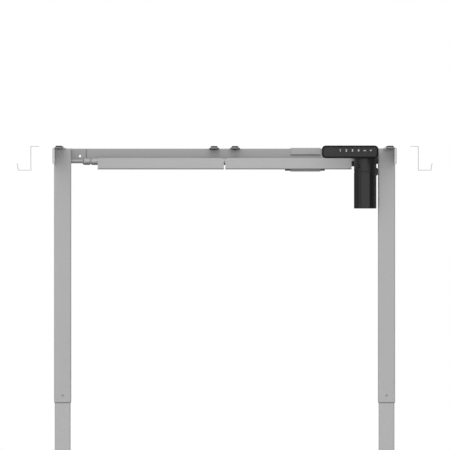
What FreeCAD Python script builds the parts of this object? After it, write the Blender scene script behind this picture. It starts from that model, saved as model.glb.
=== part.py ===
"""Single-motor linear lifting actuator: a synchronised two-column lift with its cross beam.

One motor turns a worm. The worm wheel turns a hexagonal cross shaft, and bevel gears at the head
of each column turn a vertical spindle. Each spindle runs in a nut fixed to the lower tube, so the
upper tubes, the beam and everything on it rise together.

Frame: origin on the floor midway between the columns, +X to the right, +Y to the rear, +Z up.
All sizes are in millimetres.
"""

import FreeCAD
import Part
import Sketcher
import math
import os

from FreeCAD import Placement, Rotation, Vector

doc = FreeCAD.newDocument("LiftingActuator")
parts = {}

DIMENSIONS = {
    # columns
    "OverallWidth": 900,
    "LegWidth": 45,
    "LegDepth": 70,
    "LegWall": 1.2,
    "LegLength": 669,
    "LegRound": 4.5,
    "LowerWidth": 41.4,
    "LowerDepth": 66.4,
    "LowerWall": 1.5,
    "LowerLength": 600,
    # travel
    "RetractedGap": 12,
    "RestLift": 300,
    # feet
    "FootTop": 38,
    "FootHeight": 26,
    "FootLength": 580,
    "FootWidth": 60,
    "FootSlope": 22,
    "FootWall": 2.5,
    "FootPlate": 4,
    "PadRadius": 16,
    "PadHeight": 7,
    "StudRadius": 4,
    "GlideInset": 30,
    # cross beam
    "RailHeight": 30,
    "RailDepth": 24,
    "RailWall": 2,
    "RailFront": 10,
    "RailHalf": 364.2,
    "RailSeam": 1.6,
    "InnerGap": 0.2,
    "InnerWall": 1.8,
    "InnerReach": 290,
    "SightHole": 3.25,
    "SightX": 381.7,
    "SightDrop": 19.6,
    # side brackets
    "BracketSheet": 2.5,
    "BracketDrop": 40.7,
    "BracketLength": 500,
    "BracketGap": 0.2,
    "BracketRise": 0.5,
    "StripWidth": 32.9,
    "HemWidth": 2.4,
    "HemSlot": 0.2,
    "ReturnWidth": 3.1,
    # table pads
    "PadBase": 13,
    "PadFoot": 11.8,
    "PadCrown": 8.9,
    "StrapRise": 1.4,
    "CrownRise": 4.1,
    "DiscRadius": 8.5,
    "DiscHeight": 2.6,
    "NeckRadius": 3.1,
    "LipRadius": 3.8,
    "PadBore": 2.2,
    "PadReach": 15,
    "StrapX": 27.6,
    "SidePadX": 435.7,
    "SidePadY": 234,
    # drive line
    "ShaftDrop": 34,
    "ShaftY": -14,
    "HexFlats": 10,
    "SleeveRadius": 9.3,
    "SleeveEnd": 352,
    "CollarStart": 354.5,
    "CollarEnd": 374.3,
    "BevelTeeth": 18,
    "BevelRadius": 12,
    "BevelFace": 4.6,
    "SpindleRadius": 6,
    "SpindleLength": 580,
    "JournalRadius": 5,
    # motor
    "MotorX": 371,
    "MotorRadius": 29.6,
    "MotorWall": 2,
    "MotorDrop": 158.3,
    "MotorSplit": 61.3,
    "GearModule": 1.1,
    "WheelTeeth": 30,
    "WheelWidth": 9,
    "WormRadius": 6,
    # trays
    "TraySheet": 1.5,
    "TrayInner": 1.85,
    "TrayOuter": 335,
    "TrayFront": -27,
    "TrayTop": 24.8,
    "TrayBottom": 54.9,
    "TrayInnerRound": 9.5,
    "TrayOuterRound": 4.5,
    "TrayBend": 4,
    # control box
    "CradleLeft": 174,
    "CradleWidth": 79.5,
    "CradleSheet": 2,
    "CradleLip": 16.4,
    "CradleBottom": 60.4,
    "BoxLeft": 159.5,
    "BoxWidth": 105.5,
    "BoxDepth": 40,
    "BoxHeight": 50,
    # handset
    "HandsetX": 331,
    "HandsetWidth": 149.2,
    "HandsetHeight": 33.6,
    "HandsetTop": 7.85,
    "HandsetFace": -96,
    "HandsetDepth": 10,
    "HandsetRound": 10.5,
    "KeyPitch": 16.1,
    "KeyFirst": -26.2,
    "KeyDrop": 5.3,
    "KeyWidth": 12,
    "KeyHeight": 11,
    # bag hooks
    "HookX": 510.7,
    "HookSheet": 1.8,
    "HookFlange": 20.5,
    "HookFloor": 35,
    "HookDrop": 57.8,
    "HookLip": 19,
    "HookFlare": 3,
    "HookWidth": 40,
}

sheet = doc.addObject("Spreadsheet::Sheet", "dims")
for row, (alias, number) in enumerate(DIMENSIONS.items(), start=1):
    sheet.set(f"A{row}", alias)
    sheet.set(f"B{row}", str(number))
    sheet.setAlias(f"B{row}", alias)
doc.recompute()


def size(alias):
    """A driving dimension as a number, for shapes that are made in code."""
    return float(sheet.get(alias))


# Heights and places that several pieces share, as spreadsheet expressions.
TOP = "(dims.FootTop + dims.RetractedGap + dims.LegLength + dims.RestLift)"
LEG_X = "((dims.OverallWidth - dims.LegWidth) / 2)"
SHAFT_Z = f"({TOP} - dims.ShaftDrop)"
TUBE_FLOOR = f"({TOP} - dims.LegLength)"
RAIL_BACK = "(dims.RailFront + dims.RailDepth)"
SIDES = {"left": -1, "right": 1}

# The same places as numbers.
top = size("FootTop") + size("RetractedGap") + size("LegLength") + size("RestLift")
leg_x = (size("OverallWidth") - size("LegWidth")) / 2
shaft_z = top - size("ShaftDrop")
shaft_y = size("ShaftY")
centre_distance = size("GearModule") * size("WheelTeeth") / 2 + size("WormRadius")
motor_y = shaft_y - centre_distance
rail_back = size("RailFront") + size("RailDepth")

AXES = {
    "x": Rotation(Vector(0, 1, 0), 90),
    "y": Rotation(Vector(1, 0, 0), -90),
    "z": Rotation(),
}


# ---------------------------------------------------------------- building helpers


def place(obj, x="0", y="0", z="0"):
    """Binds an object's position to expressions."""
    for axis, expression in zip("xyz", (x, y, z)):
        obj.setExpression(f"Placement.Base.{axis}", str(expression))
    return obj


def keep(obj, label):
    """Makes an object a sub-part: its label names its file."""
    obj.Label = label
    parts[label] = obj
    return obj


def box(name, length, width, height, x="0", y="0", z="0"):
    """A Part::Box bound to the sheet: sizes along X, Y and Z, then its lowest corner."""
    obj = doc.addObject("Part::Box", name)
    for prop, expression in (("Length", length), ("Width", width), ("Height", height)):
        obj.setExpression(prop, str(expression))
    return place(obj, x, y, z)


def cylinder(name, radius, height, x="0", y="0", z="0", axis="z"):
    """A Part::Cylinder bound to the sheet, from its base point along +X, +Y or +Z."""
    obj = doc.addObject("Part::Cylinder", name)
    obj.setExpression("Radius", str(radius))
    obj.setExpression("Height", str(height))
    obj.Placement = Placement(Vector(), AXES[axis])
    return place(obj, x, y, z)


def cone(name, low, high, height, x="0", y="0", z="0", axis="z"):
    """A Part::Cone bound to the sheet."""
    obj = doc.addObject("Part::Cone", name)
    for prop, expression in (("Radius1", low), ("Radius2", high), ("Height", height)):
        obj.setExpression(prop, str(expression))
    obj.Placement = Placement(Vector(), AXES[axis])
    return place(obj, x, y, z)


def hex_nut(name, corner, height, x, y, z):
    """A Part::Prism with six sides, standing upright."""
    obj = doc.addObject("Part::Prism", name)
    obj.Polygon = 6
    obj.setExpression("Circumradius", str(corner))
    obj.setExpression("Height", str(height))
    return place(obj, x, y, z)


def fuse(name, shapes):
    obj = doc.addObject("Part::MultiFuse", name)
    obj.Shapes = shapes
    return obj


def cut(name, base, tools):
    """base less every tool."""
    obj = doc.addObject("Part::Cut", name)
    obj.Base = base
    obj.Tool = tools[0] if len(tools) == 1 else fuse(name + "Tools", tools)
    return obj


def group(name, solids):
    """Several separate solids that share one node."""
    obj = doc.addObject("Part::Compound", name)
    obj.Links = solids
    return obj


def feature(label, shape):
    """A sub-part whose shape is made in code."""
    obj = doc.addObject("Part::Feature", label)
    obj.Shape = shape
    return keep(obj, label)


def loop(sketch, points, start):
    """A closed outline in a sketch: every corner is bound to two expressions."""
    count = len(points)
    for i in range(count):
        sketch.addGeometry(
            Part.LineSegment(Vector(i, i % 2, 0), Vector(i + 1, (i + 1) % 2, 0)), False
        )
    for i in range(count):
        following = start + (i + 1) % count
        sketch.addConstraint(Sketcher.Constraint("Coincident", start + i, 2, following, 1))
    for i, (u, v) in enumerate(points):
        for kind, expression in (("DistanceX", u), ("DistanceY", v)):
            where = sketch.addConstraint(Sketcher.Constraint(kind, -1, 1, start + i, 1, 1.0))
            sketch.setExpression(f"Constraints[{where}]", str(expression))
    return start + count


def profile_body(name, plane, loops, length, x="0", y="0", z="0"):
    """A PartDesign body: a sketch of closed outlines on one of its own planes, padded."""
    body = doc.addObject("PartDesign::Body", name)
    sketch = body.newObject("Sketcher::SketchObject", name + "Sketch")
    planes = {f.Role: f for f in body.Origin.OriginFeatures}
    sketch.AttachmentSupport = [(planes[plane], "")]
    sketch.MapMode = "FlatFace"
    start = 0
    for points in loops:
        start = loop(sketch, points, start)
    pad = body.newObject("PartDesign::Pad", name + "Pad")
    pad.Profile = sketch
    pad.setExpression("Length", str(length))
    body.Tip = pad
    return place(body, x, y, z)


def rectangle(width, depth, x="0", y="0"):
    """The corners of a rectangle centred on x, y."""
    return [
        (f"{x} - ({width}) / 2", f"{y} - ({depth}) / 2"),
        (f"{x} + ({width}) / 2", f"{y} - ({depth}) / 2"),
        (f"{x} + ({width}) / 2", f"{y} + ({depth}) / 2"),
        (f"{x} - ({width}) / 2", f"{y} + ({depth}) / 2"),
    ]


def long_edges(shape, direction, length, near=None):
    """Names of the straight edges along a direction that are at least that long."""
    names = []
    for i, edge in enumerate(shape.Edges, start=1):
        if edge.Curve.TypeId != "Part::GeomLine" or edge.Length < length:
            continue
        run = (edge.Vertexes[-1].Point - edge.Vertexes[0].Point).normalize()
        if abs(run.dot(direction)) > 0.999 and (near is None or near(edge.CenterOfMass)):
            names.append(f"Edge{i}")
    return names


def round_edges(body, radius, direction, length, near=None, kind="Fillet"):
    """Fillets or chamfers the long straight edges of a body's last feature."""
    doc.recompute()
    tip = body.Tip
    names = long_edges(tip.Shape, direction, length, near)
    dressing = body.newObject(f"PartDesign::{kind}", f"{body.Name}{kind}{len(body.Group)}")
    dressing.Base = (tip, names)
    dressing.setExpression("Radius" if kind == "Fillet" else "Size", str(radius))
    body.Tip = dressing
    return body


def button_screw(radius, length, x, y, z, direction):
    """A button-head screw: the head stands on the point, the shank goes the other way.

    direction is the way that the head faces: +x, -x, +y, -y, +z or -z.
    """
    sign = 1 if direction[0] == "+" else -1
    facing = {"x": Vector(1, 0, 0), "y": Vector(0, 1, 0), "z": Vector(0, 0, 1)}[direction[1]]
    facing = facing * sign
    seat = Vector(x, y, z)
    head = Part.makeCylinder(radius * 1.8, radius * 0.5, seat, facing)
    crown = Part.makeCone(
        radius * 1.8, radius * 1.1, radius * 0.6, seat + facing * (radius * 0.5), facing
    )
    shank = Part.makeCylinder(radius, length, seat, facing * -1)
    socket = Part.makePolygon(
        [
            Vector(radius * 0.75 * math.cos(a), radius * 0.75 * math.sin(a), 0)
            for a in [math.radians(60 * i) for i in range(7)]
        ]
    )
    hole = Part.Face(socket).extrude(Vector(0, 0, radius))
    hole.Placement = Placement(
        seat + facing * (radius * 0.35), Rotation(Vector(0, 0, 1), facing)
    )
    return head.fuse([crown, shank]).cut(hole).removeSplitter()


def hexagon(flats, length, start, axis):
    """A hexagonal bar with flats above and below, from a point along an axis."""
    corner = flats / math.sqrt(3)
    points = [
        Vector(corner * math.cos(math.radians(60 * i)), corner * math.sin(math.radians(60 * i)), 0)
        for i in range(7)
    ]
    bar = Part.Face(Part.makePolygon(points)).extrude(Vector(0, 0, length))
    # the bar's own x axis goes level, so that two flats face up and down
    turn = Rotation(Vector(0, 1, 0), 90) if axis == "x" else Rotation()
    roll = Rotation(Vector(0, 0, 1), 90)
    bar.Placement = Placement(start, turn.multiply(roll))
    return bar


# ---------------------------------------------------------------- feet and lower tubes


def foot(side, sign):
    """A pressed foot, open below, with sloping ends and the weld nuts for its levellers."""
    half = "dims.FootLength / 2"
    low = "dims.FootTop - dims.FootHeight"
    outline = [
        (f"-{half}", low),
        (half, low),
        (f"{half} - 2", f"{low} + 8"),
        (f"{half} - dims.FootSlope", "dims.FootTop"),
        (f"-{half} + dims.FootSlope", "dims.FootTop"),
        (f"-{half} + 2", f"{low} + 8"),
    ]
    centre = f"{sign} * {LEG_X}"
    outer = profile_body(
        f"{side}FootShell", "YZ_Plane", [outline], "dims.FootWidth", f"{centre} - dims.FootWidth / 2"
    )
    round_edges(outer, 4, Vector(0, 1, 0), 300, lambda p: p.z > 30)
    wall = "dims.FootWall"
    hollow = box(
        f"{side}FootHollow",
        f"dims.FootWidth - 2 * {wall}",
        f"dims.FootLength - 2 * dims.FootSlope - 2 * {wall}",
        f"dims.FootHeight - {wall}",
        f"{centre} - dims.FootWidth / 2 + {wall}",
        f"-{half} + dims.FootSlope + {wall}",
        low,
    )
    shell = cut(f"{side}FootOpen", outer, [hollow])
    nuts = [
        hex_nut(f"{side}WeldNut{i}", 8.7, 9, centre, y, f"dims.FootTop - {wall} - 9")
        for i, y in enumerate(stud_places())
    ]
    welded = fuse(f"{side}FootWelded", [shell] + nuts)
    holes = [
        cylinder(f"{side}FootHole{i}", 3.2, 20, f"{centre} + {dx}", dy, "dims.FootTop - 10")
        for i, (dx, dy) in enumerate(BOLT_SPOTS)
    ]
    for i, y in enumerate(stud_places()):
        holes.append(
            cylinder(f"{side}StudHole{i}", "dims.StudRadius + 0.15", 30, centre, y, "dims.FootTop - 20")
        )
    keep(cut(f"{side}Foot", welded, holes), f"{side}_foot")

    seat = size("FootTop") + size("FootPlate")
    bolts = [
        button_screw(3, 12, sign * leg_x + dx, dy, seat, "+z") for dx, dy in BOLT_SPOTS
    ]
    feature(f"{side}_foot_bolts", Part.makeCompound(bolts))


BOLT_SPOTS = [(dx, dy) for dx in (-18, 18) for dy in (-48, 48)]


def stud_places():
    """Where the two levelling glides stand, along the foot."""
    reach = size("FootLength") / 2 - size("FootSlope") - size("GlideInset")
    return [-reach, reach]


def leveller(side, sign, end, y):
    """A screw-in levelling glide: pad, chamfered rim and threaded stud."""
    radius = size("PadRadius")
    height = size("PadHeight")
    centre = Vector(sign * leg_x, y, 0)
    pad = Part.makeCylinder(radius, height - 2, centre)
    rim = Part.makeCone(radius, radius - 3, 2, centre + Vector(0, 0, height - 2))
    stud_top = size("FootTop") - 4
    stud = Part.makeCylinder(size("StudRadius"), stud_top - height, centre + Vector(0, 0, height))
    feature(f"{side}_{end}_leveller", pad.fuse([rim, stud]).removeSplitter())


def square_tube(name, width, depth, wall, length, x, z, radius):
    """A rounded rectangular tube standing upright."""
    outer = rectangle(width, depth)
    inner = rectangle(f"({width}) - 2 * {wall}", f"({depth}) - 2 * {wall}")
    body = profile_body(name, "XY_Plane", [outer, inner], length, x, "0", z)
    half = Vector(0, 0, 1)
    round_edges(body, radius, half, 100, lambda p: abs(p.x) > edge_limit[name])
    round_edges(body, f"{radius} - {wall}", half, 100, lambda p: abs(p.x) < edge_limit[name] + 0.01)
    return body


# The outer corners of each tube stand further out than this, the inner ones nearer.
edge_limit = {}


def lower_tube(side, sign):
    """The lower stage: its tube, welded to the plate that is bolted to the foot."""
    name = f"{side}LowerTube"
    edge_limit[name] = size("LowerWidth") / 2 - 0.5
    centre = f"{sign} * {LEG_X}"
    tube = square_tube(
        name,
        "dims.LowerWidth",
        "dims.LowerDepth",
        "dims.LowerWall",
        "dims.LowerLength - dims.FootPlate",
        centre,
        "(dims.FootTop + dims.FootPlate)",
        "(dims.LegRound - 0.4)",
    )
    plate = box(
        f"{side}PlateBlank",
        "dims.FootWidth - 4",
        124,
        "dims.FootPlate",
        f"{centre} - dims.FootWidth / 2 + 2",
        -62,
        "dims.FootTop",
    )
    holes = [
        cylinder(f"{side}PlateHole{i}", 3.2, 12, f"{centre} + {dx}", dy, "dims.FootTop - 4")
        for i, (dx, dy) in enumerate(BOLT_SPOTS)
    ]
    welded = fuse(f"{side}LowerWelded", [tube, plate])
    keep(cut(f"{side}LowerStage", welded, holes), f"{side}_lower_tube")


def nut_block(side, sign):
    """The moulded spindle nut in the head of the lower tube, with its lips over the rim."""
    head = size("FootTop") + size("LowerLength")
    x = sign * leg_x
    gap = (size("LegWidth") - 2 * size("LegWall") - size("LowerWidth")) / 2
    film = gap - 0.2

    def slab(wide, deep, z0, z1, radius):
        block = Part.makeBox(wide, deep, z1 - z0, Vector(x - wide / 2, -deep / 2, z0))
        return block.makeFillet(radius, [e for e in block.Edges if abs(e.tangentAt(0).z) > 0.9])

    bore_wide = size("LowerWidth") - 2 * size("LowerWall")
    bore_deep = size("LowerDepth") - 2 * size("LowerWall")
    plug = slab(bore_wide - 0.1, bore_deep - 0.1, head - 40, head + 0.05, 2.7)
    cap = slab(size("LowerWidth") + 2 * film, size("LowerDepth") + 2 * film, head + 0.05, head + 4, 3.6)
    pads = []
    for facing in (-1, 1):
        y = facing * (size("LowerDepth") / 2 + film / 2 + 0.02)
        pads.append(Part.makeBox(28, film - 0.04, 66, Vector(x - 14, y - film / 2 + 0.02, head - 64)))
        across = x + facing * (size("LowerWidth") / 2 + film / 2 + 0.02)
        pads.append(Part.makeBox(film - 0.04, 50, 66, Vector(across - film / 2 + 0.02, -25, head - 64)))
    bore = Part.makeCylinder(size("SpindleRadius") + 0.08, 60, Vector(x, shaft_y, head - 50))
    window = Part.makeBox(22, 18, 60, Vector(x - 11, 9, head - 50))
    feature(f"{side}_nut_block", plug.fuse([cap] + pads).cut([bore, window]).removeSplitter())


# ---------------------------------------------------------------- upper columns


def outer_tube(side, sign):
    """The upper stage with its openings for the cross shaft and the bushing screws."""
    name = f"{side}OuterBlank"
    edge_limit[name] = size("LegWidth") / 2 - 0.5
    centre = f"{sign} * {LEG_X}"
    blank = square_tube(
        name,
        "dims.LegWidth",
        "dims.LegDepth",
        "dims.LegWall",
        "dims.LegLength - dims.BracketSheet + dims.BracketRise",
        centre,
        TUBE_FLOOR,
        "dims.LegRound",
    )
    inner_face = f"{centre} - {sign} * dims.LegWidth / 2"
    shaft_hole = cylinder(
        f"{side}ShaftHole", 10.5, 10, f"{inner_face} - 5", "dims.ShaftY", SHAFT_Z, "x"
    )
    screw_hole = cylinder(
        f"{side}ScrewHole", 1.6, 100, centre, -50, f"{TUBE_FLOOR} + {SCREW_RISE}", "y"
    )
    keep(cut(f"{side}OuterTube", blank, [shaft_hole, screw_hole]), f"{side}_outer_tube")


SCREW_RISE = 18.5
SLEEVE_WALL = 0.35
SLEEVE_RISE = 40
RIM = 2.4
RIM_LIP = 0.4


def lower_bushings():
    """The plastic bushings at the mouths of the upper tubes: a thin sleeve with a rim below."""
    floor = top - size("LegLength")
    outer_x = size("LegWidth") - 2 * size("LegWall") - 0.1
    outer_y = size("LegDepth") - 2 * size("LegWall") - 0.1
    inner_x = outer_x - 2 * SLEEVE_WALL
    inner_y = outer_y - 2 * SLEEVE_WALL

    def slab(x, dx, dy, dz, z):
        block = Part.makeBox(dx, dy, dz, Vector(x - dx / 2, -dy / 2, z))
        return block.makeFillet(3.4, [e for e in block.Edges if abs(e.tangentAt(0).z) > 0.9])

    bushings = []
    for sign in (-1, 1):
        x = sign * leg_x
        sleeve = slab(x, outer_x, outer_y, SLEEVE_RISE, floor)
        rim = slab(x, outer_x + RIM_LIP, outer_y + RIM_LIP, RIM, floor - RIM)
        opening = slab(x, inner_x, inner_y, SLEEVE_RISE + 2 * RIM, floor - 2 * RIM)
        bushings.append(sleeve.fuse(rim).cut(opening).removeSplitter())
    feature("lower_bushings", Part.makeCompound(bushings))


def small_screws():
    """The M3 screws: one in the front and rear of each bushing, four on the gearbox."""
    floor = top - size("LegLength")
    screws = []
    for sign in (-1, 1):
        for facing, way in ((-1, "-y"), (1, "+y")):
            seat = facing * size("LegDepth") / 2
            screws.append(
                button_screw(1.5, size("LegWall"), sign * leg_x, seat, floor + SCREW_RISE, way)
            )
    for x, y in gearbox_screw_spots():
        screws.append(button_screw(1.5, 8, x, y, top - GEARBOX_DROP, "+z"))
    feature("small_screws", Part.makeCompound(screws))


def gearbox_screw_spots():
    """Where the gearbox's four screws stand, round the motor's axis."""
    turns = [math.radians(angle) for angle in (35, 145, 215, 325)]
    return [(size("MotorX") + 24 * math.cos(a), motor_y + 24 * math.sin(a)) for a in turns]


HOUSING_DROP = 62
BEARING_WIDTH = 8
BEARING_RADIUS = 13


def head_gearboxes():
    """The bevel gearbox housings inside the heads of the columns, and their bearings."""
    housings = []
    bearings = []
    for sign in (-1, 1):
        x = sign * leg_x
        wide = size("LegWidth") - 2 * size("LegWall") - 0.4
        deep = size("LegDepth") - 2 * size("LegWall") - 0.4
        floor = top - HOUSING_DROP
        roof = top + size("BracketRise") - size("BracketSheet") - 0.2
        block = Part.makeBox(wide, deep, roof - floor, Vector(x - wide / 2, -deep / 2, floor))
        block = block.makeFillet(3.2, [e for e in block.Edges if abs(e.tangentAt(0).z) > 0.9])
        inward = Vector(-sign, 0, 0)
        axis = Vector(x, shaft_y, shaft_z)
        bearing_z = floor + 2
        gear_z = bearing_z + BEARING_WIDTH
        rooms = [
            Part.makeCylinder(8, 10, Vector(x, shaft_y, floor - 4)),
            Part.makeCylinder(BEARING_RADIUS + 0.02, BEARING_WIDTH, Vector(x, shaft_y, bearing_z)),
            Part.makeCylinder(16, roof - gear_z - 3, Vector(x, shaft_y, gear_z)),
            Part.makeCylinder(15, 14.5, axis, inward),
            Part.makeCylinder(HUB_RADIUS + 0.05, 30, axis, inward),
            Part.makeBox(26, 22, 40, Vector(x - 13, 6, floor + 6)),
        ]
        bolt_x = x + sign * BRACKET_BOLT_OUT
        rooms += [Part.makeCylinder(3, 30, Vector(bolt_x, y, roof - 9)) for y in BRACKET_BOLT_Y]
        housings.append(block.cut(rooms).removeSplitter())
        bearings.append(bearing(Vector(x, shaft_y, bearing_z), size("JournalRadius") + 0.02))
    feature("head_housings", Part.makeCompound(housings))
    feature("spindle_bearings", Part.makeCompound(bearings))


BRACKET_BOLT_OUT = 6
BRACKET_BOLT_Y = (-28, 28)
HUB_RADIUS = 7


def bearing(base, bore):
    """A deep-groove ball bearing standing on its base point: two rings and the balls."""
    middle = base + Vector(0, 0, BEARING_WIDTH / 2)
    pitch = (bore + BEARING_RADIUS) / 2
    ball = 2.1

    def ring(low, high):
        hollow = Part.makeCylinder(low, BEARING_WIDTH, base)
        solid = Part.makeCylinder(high, BEARING_WIDTH, base).cut(hollow)
        return solid.cut(Part.makeTorus(pitch, ball + 0.1, middle))

    rings = [ring(bore, pitch - 1.2), ring(pitch + 1.2, BEARING_RADIUS)]
    balls = []
    for i in range(8):
        turn = math.radians(45 * i)
        offset = Vector(pitch * math.cos(turn), pitch * math.sin(turn), 0)
        balls.append(Part.makeSphere(ball, middle + offset))
    return Part.makeCompound(rings + balls)


# ---------------------------------------------------------------- cross beam


def rail_section(name, height, depth, wall, x_start, length, y_start, z_start):
    """A rectangular tube along X; start values are its lowest corner."""
    outer = [("0", "0"), (depth, "0"), (depth, height), ("0", height)]
    inner = [
        (wall, wall),
        (f"{depth} - {wall}", wall),
        (f"{depth} - {wall}", f"{height} - {wall}"),
        (wall, f"{height} - {wall}"),
    ]
    body = profile_body(name, "YZ_Plane", [outer, inner], length, x_start, y_start, z_start)
    return round_edges(body, 1.4, Vector(1, 0, 0), 20, lambda p: not inside_rail(name, p))


rail_inner = {}


def inside_rail(name, point):
    """True for an edge of the rail's bore, which stays sharp."""
    depth, height = rail_inner[name]
    return 0.5 < point.y < depth - 0.5 or 0.5 < point.z < height - 0.5


def beam_end(side, sign):
    """A beam end: the inner rail, the sleeve round its outer end, and the weld plate."""
    rail_inner[f"{side}Socket"] = (size("RailDepth"), size("RailHeight"))
    length = f"({LEG_X} - dims.LegWidth / 2 - dims.RailHalf - dims.RailSeam)"
    start = f"-{LEG_X} + dims.LegWidth / 2" if sign < 0 else "dims.RailHalf + dims.RailSeam"
    socket = rail_section(
        f"{side}Socket",
        "dims.RailHeight",
        "dims.RailDepth",
        "dims.RailWall",
        start,
        length,
        "dims.RailFront",
        f"{TOP} - dims.RailHeight",
    )
    rail_inner[f"{side}Inner"] = (
        size("RailDepth") - 2 * size("RailWall") - 2 * size("InnerGap"),
        size("RailHeight") - 2 * size("RailWall") - 2 * size("InnerGap"),
    )
    inset = "(dims.RailWall + dims.InnerGap)"
    reach = f"({LEG_X} - dims.LegWidth / 2 - dims.RailHalf + dims.InnerReach)"
    near = f"-{LEG_X} + dims.LegWidth / 2" if sign < 0 else "dims.RailHalf - dims.InnerReach"
    inner = rail_section(
        f"{side}Inner",
        f"(dims.RailHeight - 2 * {inset})",
        f"(dims.RailDepth - 2 * {inset})",
        "dims.InnerWall",
        near,
        reach,
        f"dims.RailFront + {inset}",
        f"{TOP} - dims.RailHeight + {inset}",
    )
    wall = f"-{LEG_X} + dims.LegWidth / 2" if sign < 0 else f"{LEG_X} - dims.LegWidth / 2 - 3"
    plate = box(
        f"{side}WeldPlate",
        3,
        "dims.RailDepth - 2",
        "dims.RailHeight - 2",
        wall,
        "dims.RailFront + 1",
        f"{TOP} - dims.RailHeight + 1",
    )
    welded = fuse(f"{side}BeamWelded", [socket, inner, plate])
    keep(cut(f"{side}BeamEnd", welded, [sight_hole(f"{side}Sight", sign)]), f"{side}_beam_end")


def sight_hole(name, sign):
    """The spare bolt hole that goes right through a socket and its inner rail."""
    return cylinder(
        name, "dims.SightHole", 60, f"{sign} * dims.SightX", 0, f"{TOP} - dims.SightDrop", "y"
    )


CLAMP_X = (342, 357)
TRAY_SCREW_X = (40, 168, 300)


def main_rail():
    """The middle rail with the straps welded across it, and the holes for its clamp bolts."""
    rail_inner["MainRailBlank"] = (size("RailDepth"), size("RailHeight"))
    blank = rail_section(
        "MainRailBlank",
        "dims.RailHeight",
        "dims.RailDepth",
        "dims.RailWall",
        "-dims.RailHalf",
        "2 * dims.RailHalf",
        "dims.RailFront",
        f"{TOP} - dims.RailHeight",
    )
    mid = f"{TOP} - dims.RailHeight / 2"
    holes = []
    for sign in (-1, 1):
        for x in CLAMP_X:
            holes.append(
                cylinder(f"ClampHole{sign * x}", 3.1, 8, sign * x, f"{RAIL_BACK} - 5", mid, "y")
            )
        for x in TRAY_SCREW_X:
            holes.append(
                cylinder(f"TrayHole{sign * x}", 2.1, 8, sign * x, f"{RAIL_BACK} - 5", mid, "y")
            )
    welded = fuse("RailWelded", [blank] + rail_straps(holes))
    keep(cut("MainRail", welded, holes), "main_rail")


def rail_straps(holes):
    """The two straps across the rail, with the cup of a table pad at each end."""
    front = "(dims.RailFront - dims.PadReach)"
    rear = f"({RAIL_BACK} + dims.PadReach)"
    low = f"{TOP} + dims.StrapRise - dims.BracketSheet"
    solids = []
    for side, sign in SIDES.items():
        x = f"{sign} * dims.StrapX"
        solids.append(
            box(
                f"{side}Strap",
                "2 * dims.PadBase",
                f"{rear} - {front}",
                "dims.BracketSheet",
                f"{x} - dims.PadBase",
                front,
                low,
            )
        )
        for end, y in (("Front", front), ("Rear", rear)):
            name = f"{side}{end}"
            solids.append(cylinder(f"{name}Round", "dims.PadBase", "dims.BracketSheet", x, y, low))
            solids.append(boss(f"{name}Boss", x, y))
            holes.append(boss_hole(f"{name}Hole", x, y))
    return solids


def frame_bolts():
    """The M6 bolts that clamp the rails and hold the side brackets, all alike."""
    z = top - size("RailHeight") / 2
    bolts = [
        button_screw(2.9, 1.9, sign * x, rail_back, z, "+y") for sign in (-1, 1) for x in CLAMP_X
    ]
    seat = top + size("StrapRise")
    bolts += [
        button_screw(2.9, 10, sign * (leg_x + BRACKET_BOLT_OUT), y, seat, "+z")
        for sign in (-1, 1)
        for y in BRACKET_BOLT_Y
    ]
    feature("frame_bolts", Part.makeCompound(bolts))


def boss(name, x, y):
    """The conical cup that a table pad sits in."""
    height = "dims.CrownRise - dims.StrapRise"
    return cone(name, "dims.PadFoot", "dims.PadCrown", height, x, y, f"{TOP} + dims.StrapRise")


def boss_hole(name, x, y):
    return cylinder(name, "dims.NeckRadius + 0.1", 30, x, y, f"{TOP} - 15")


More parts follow.
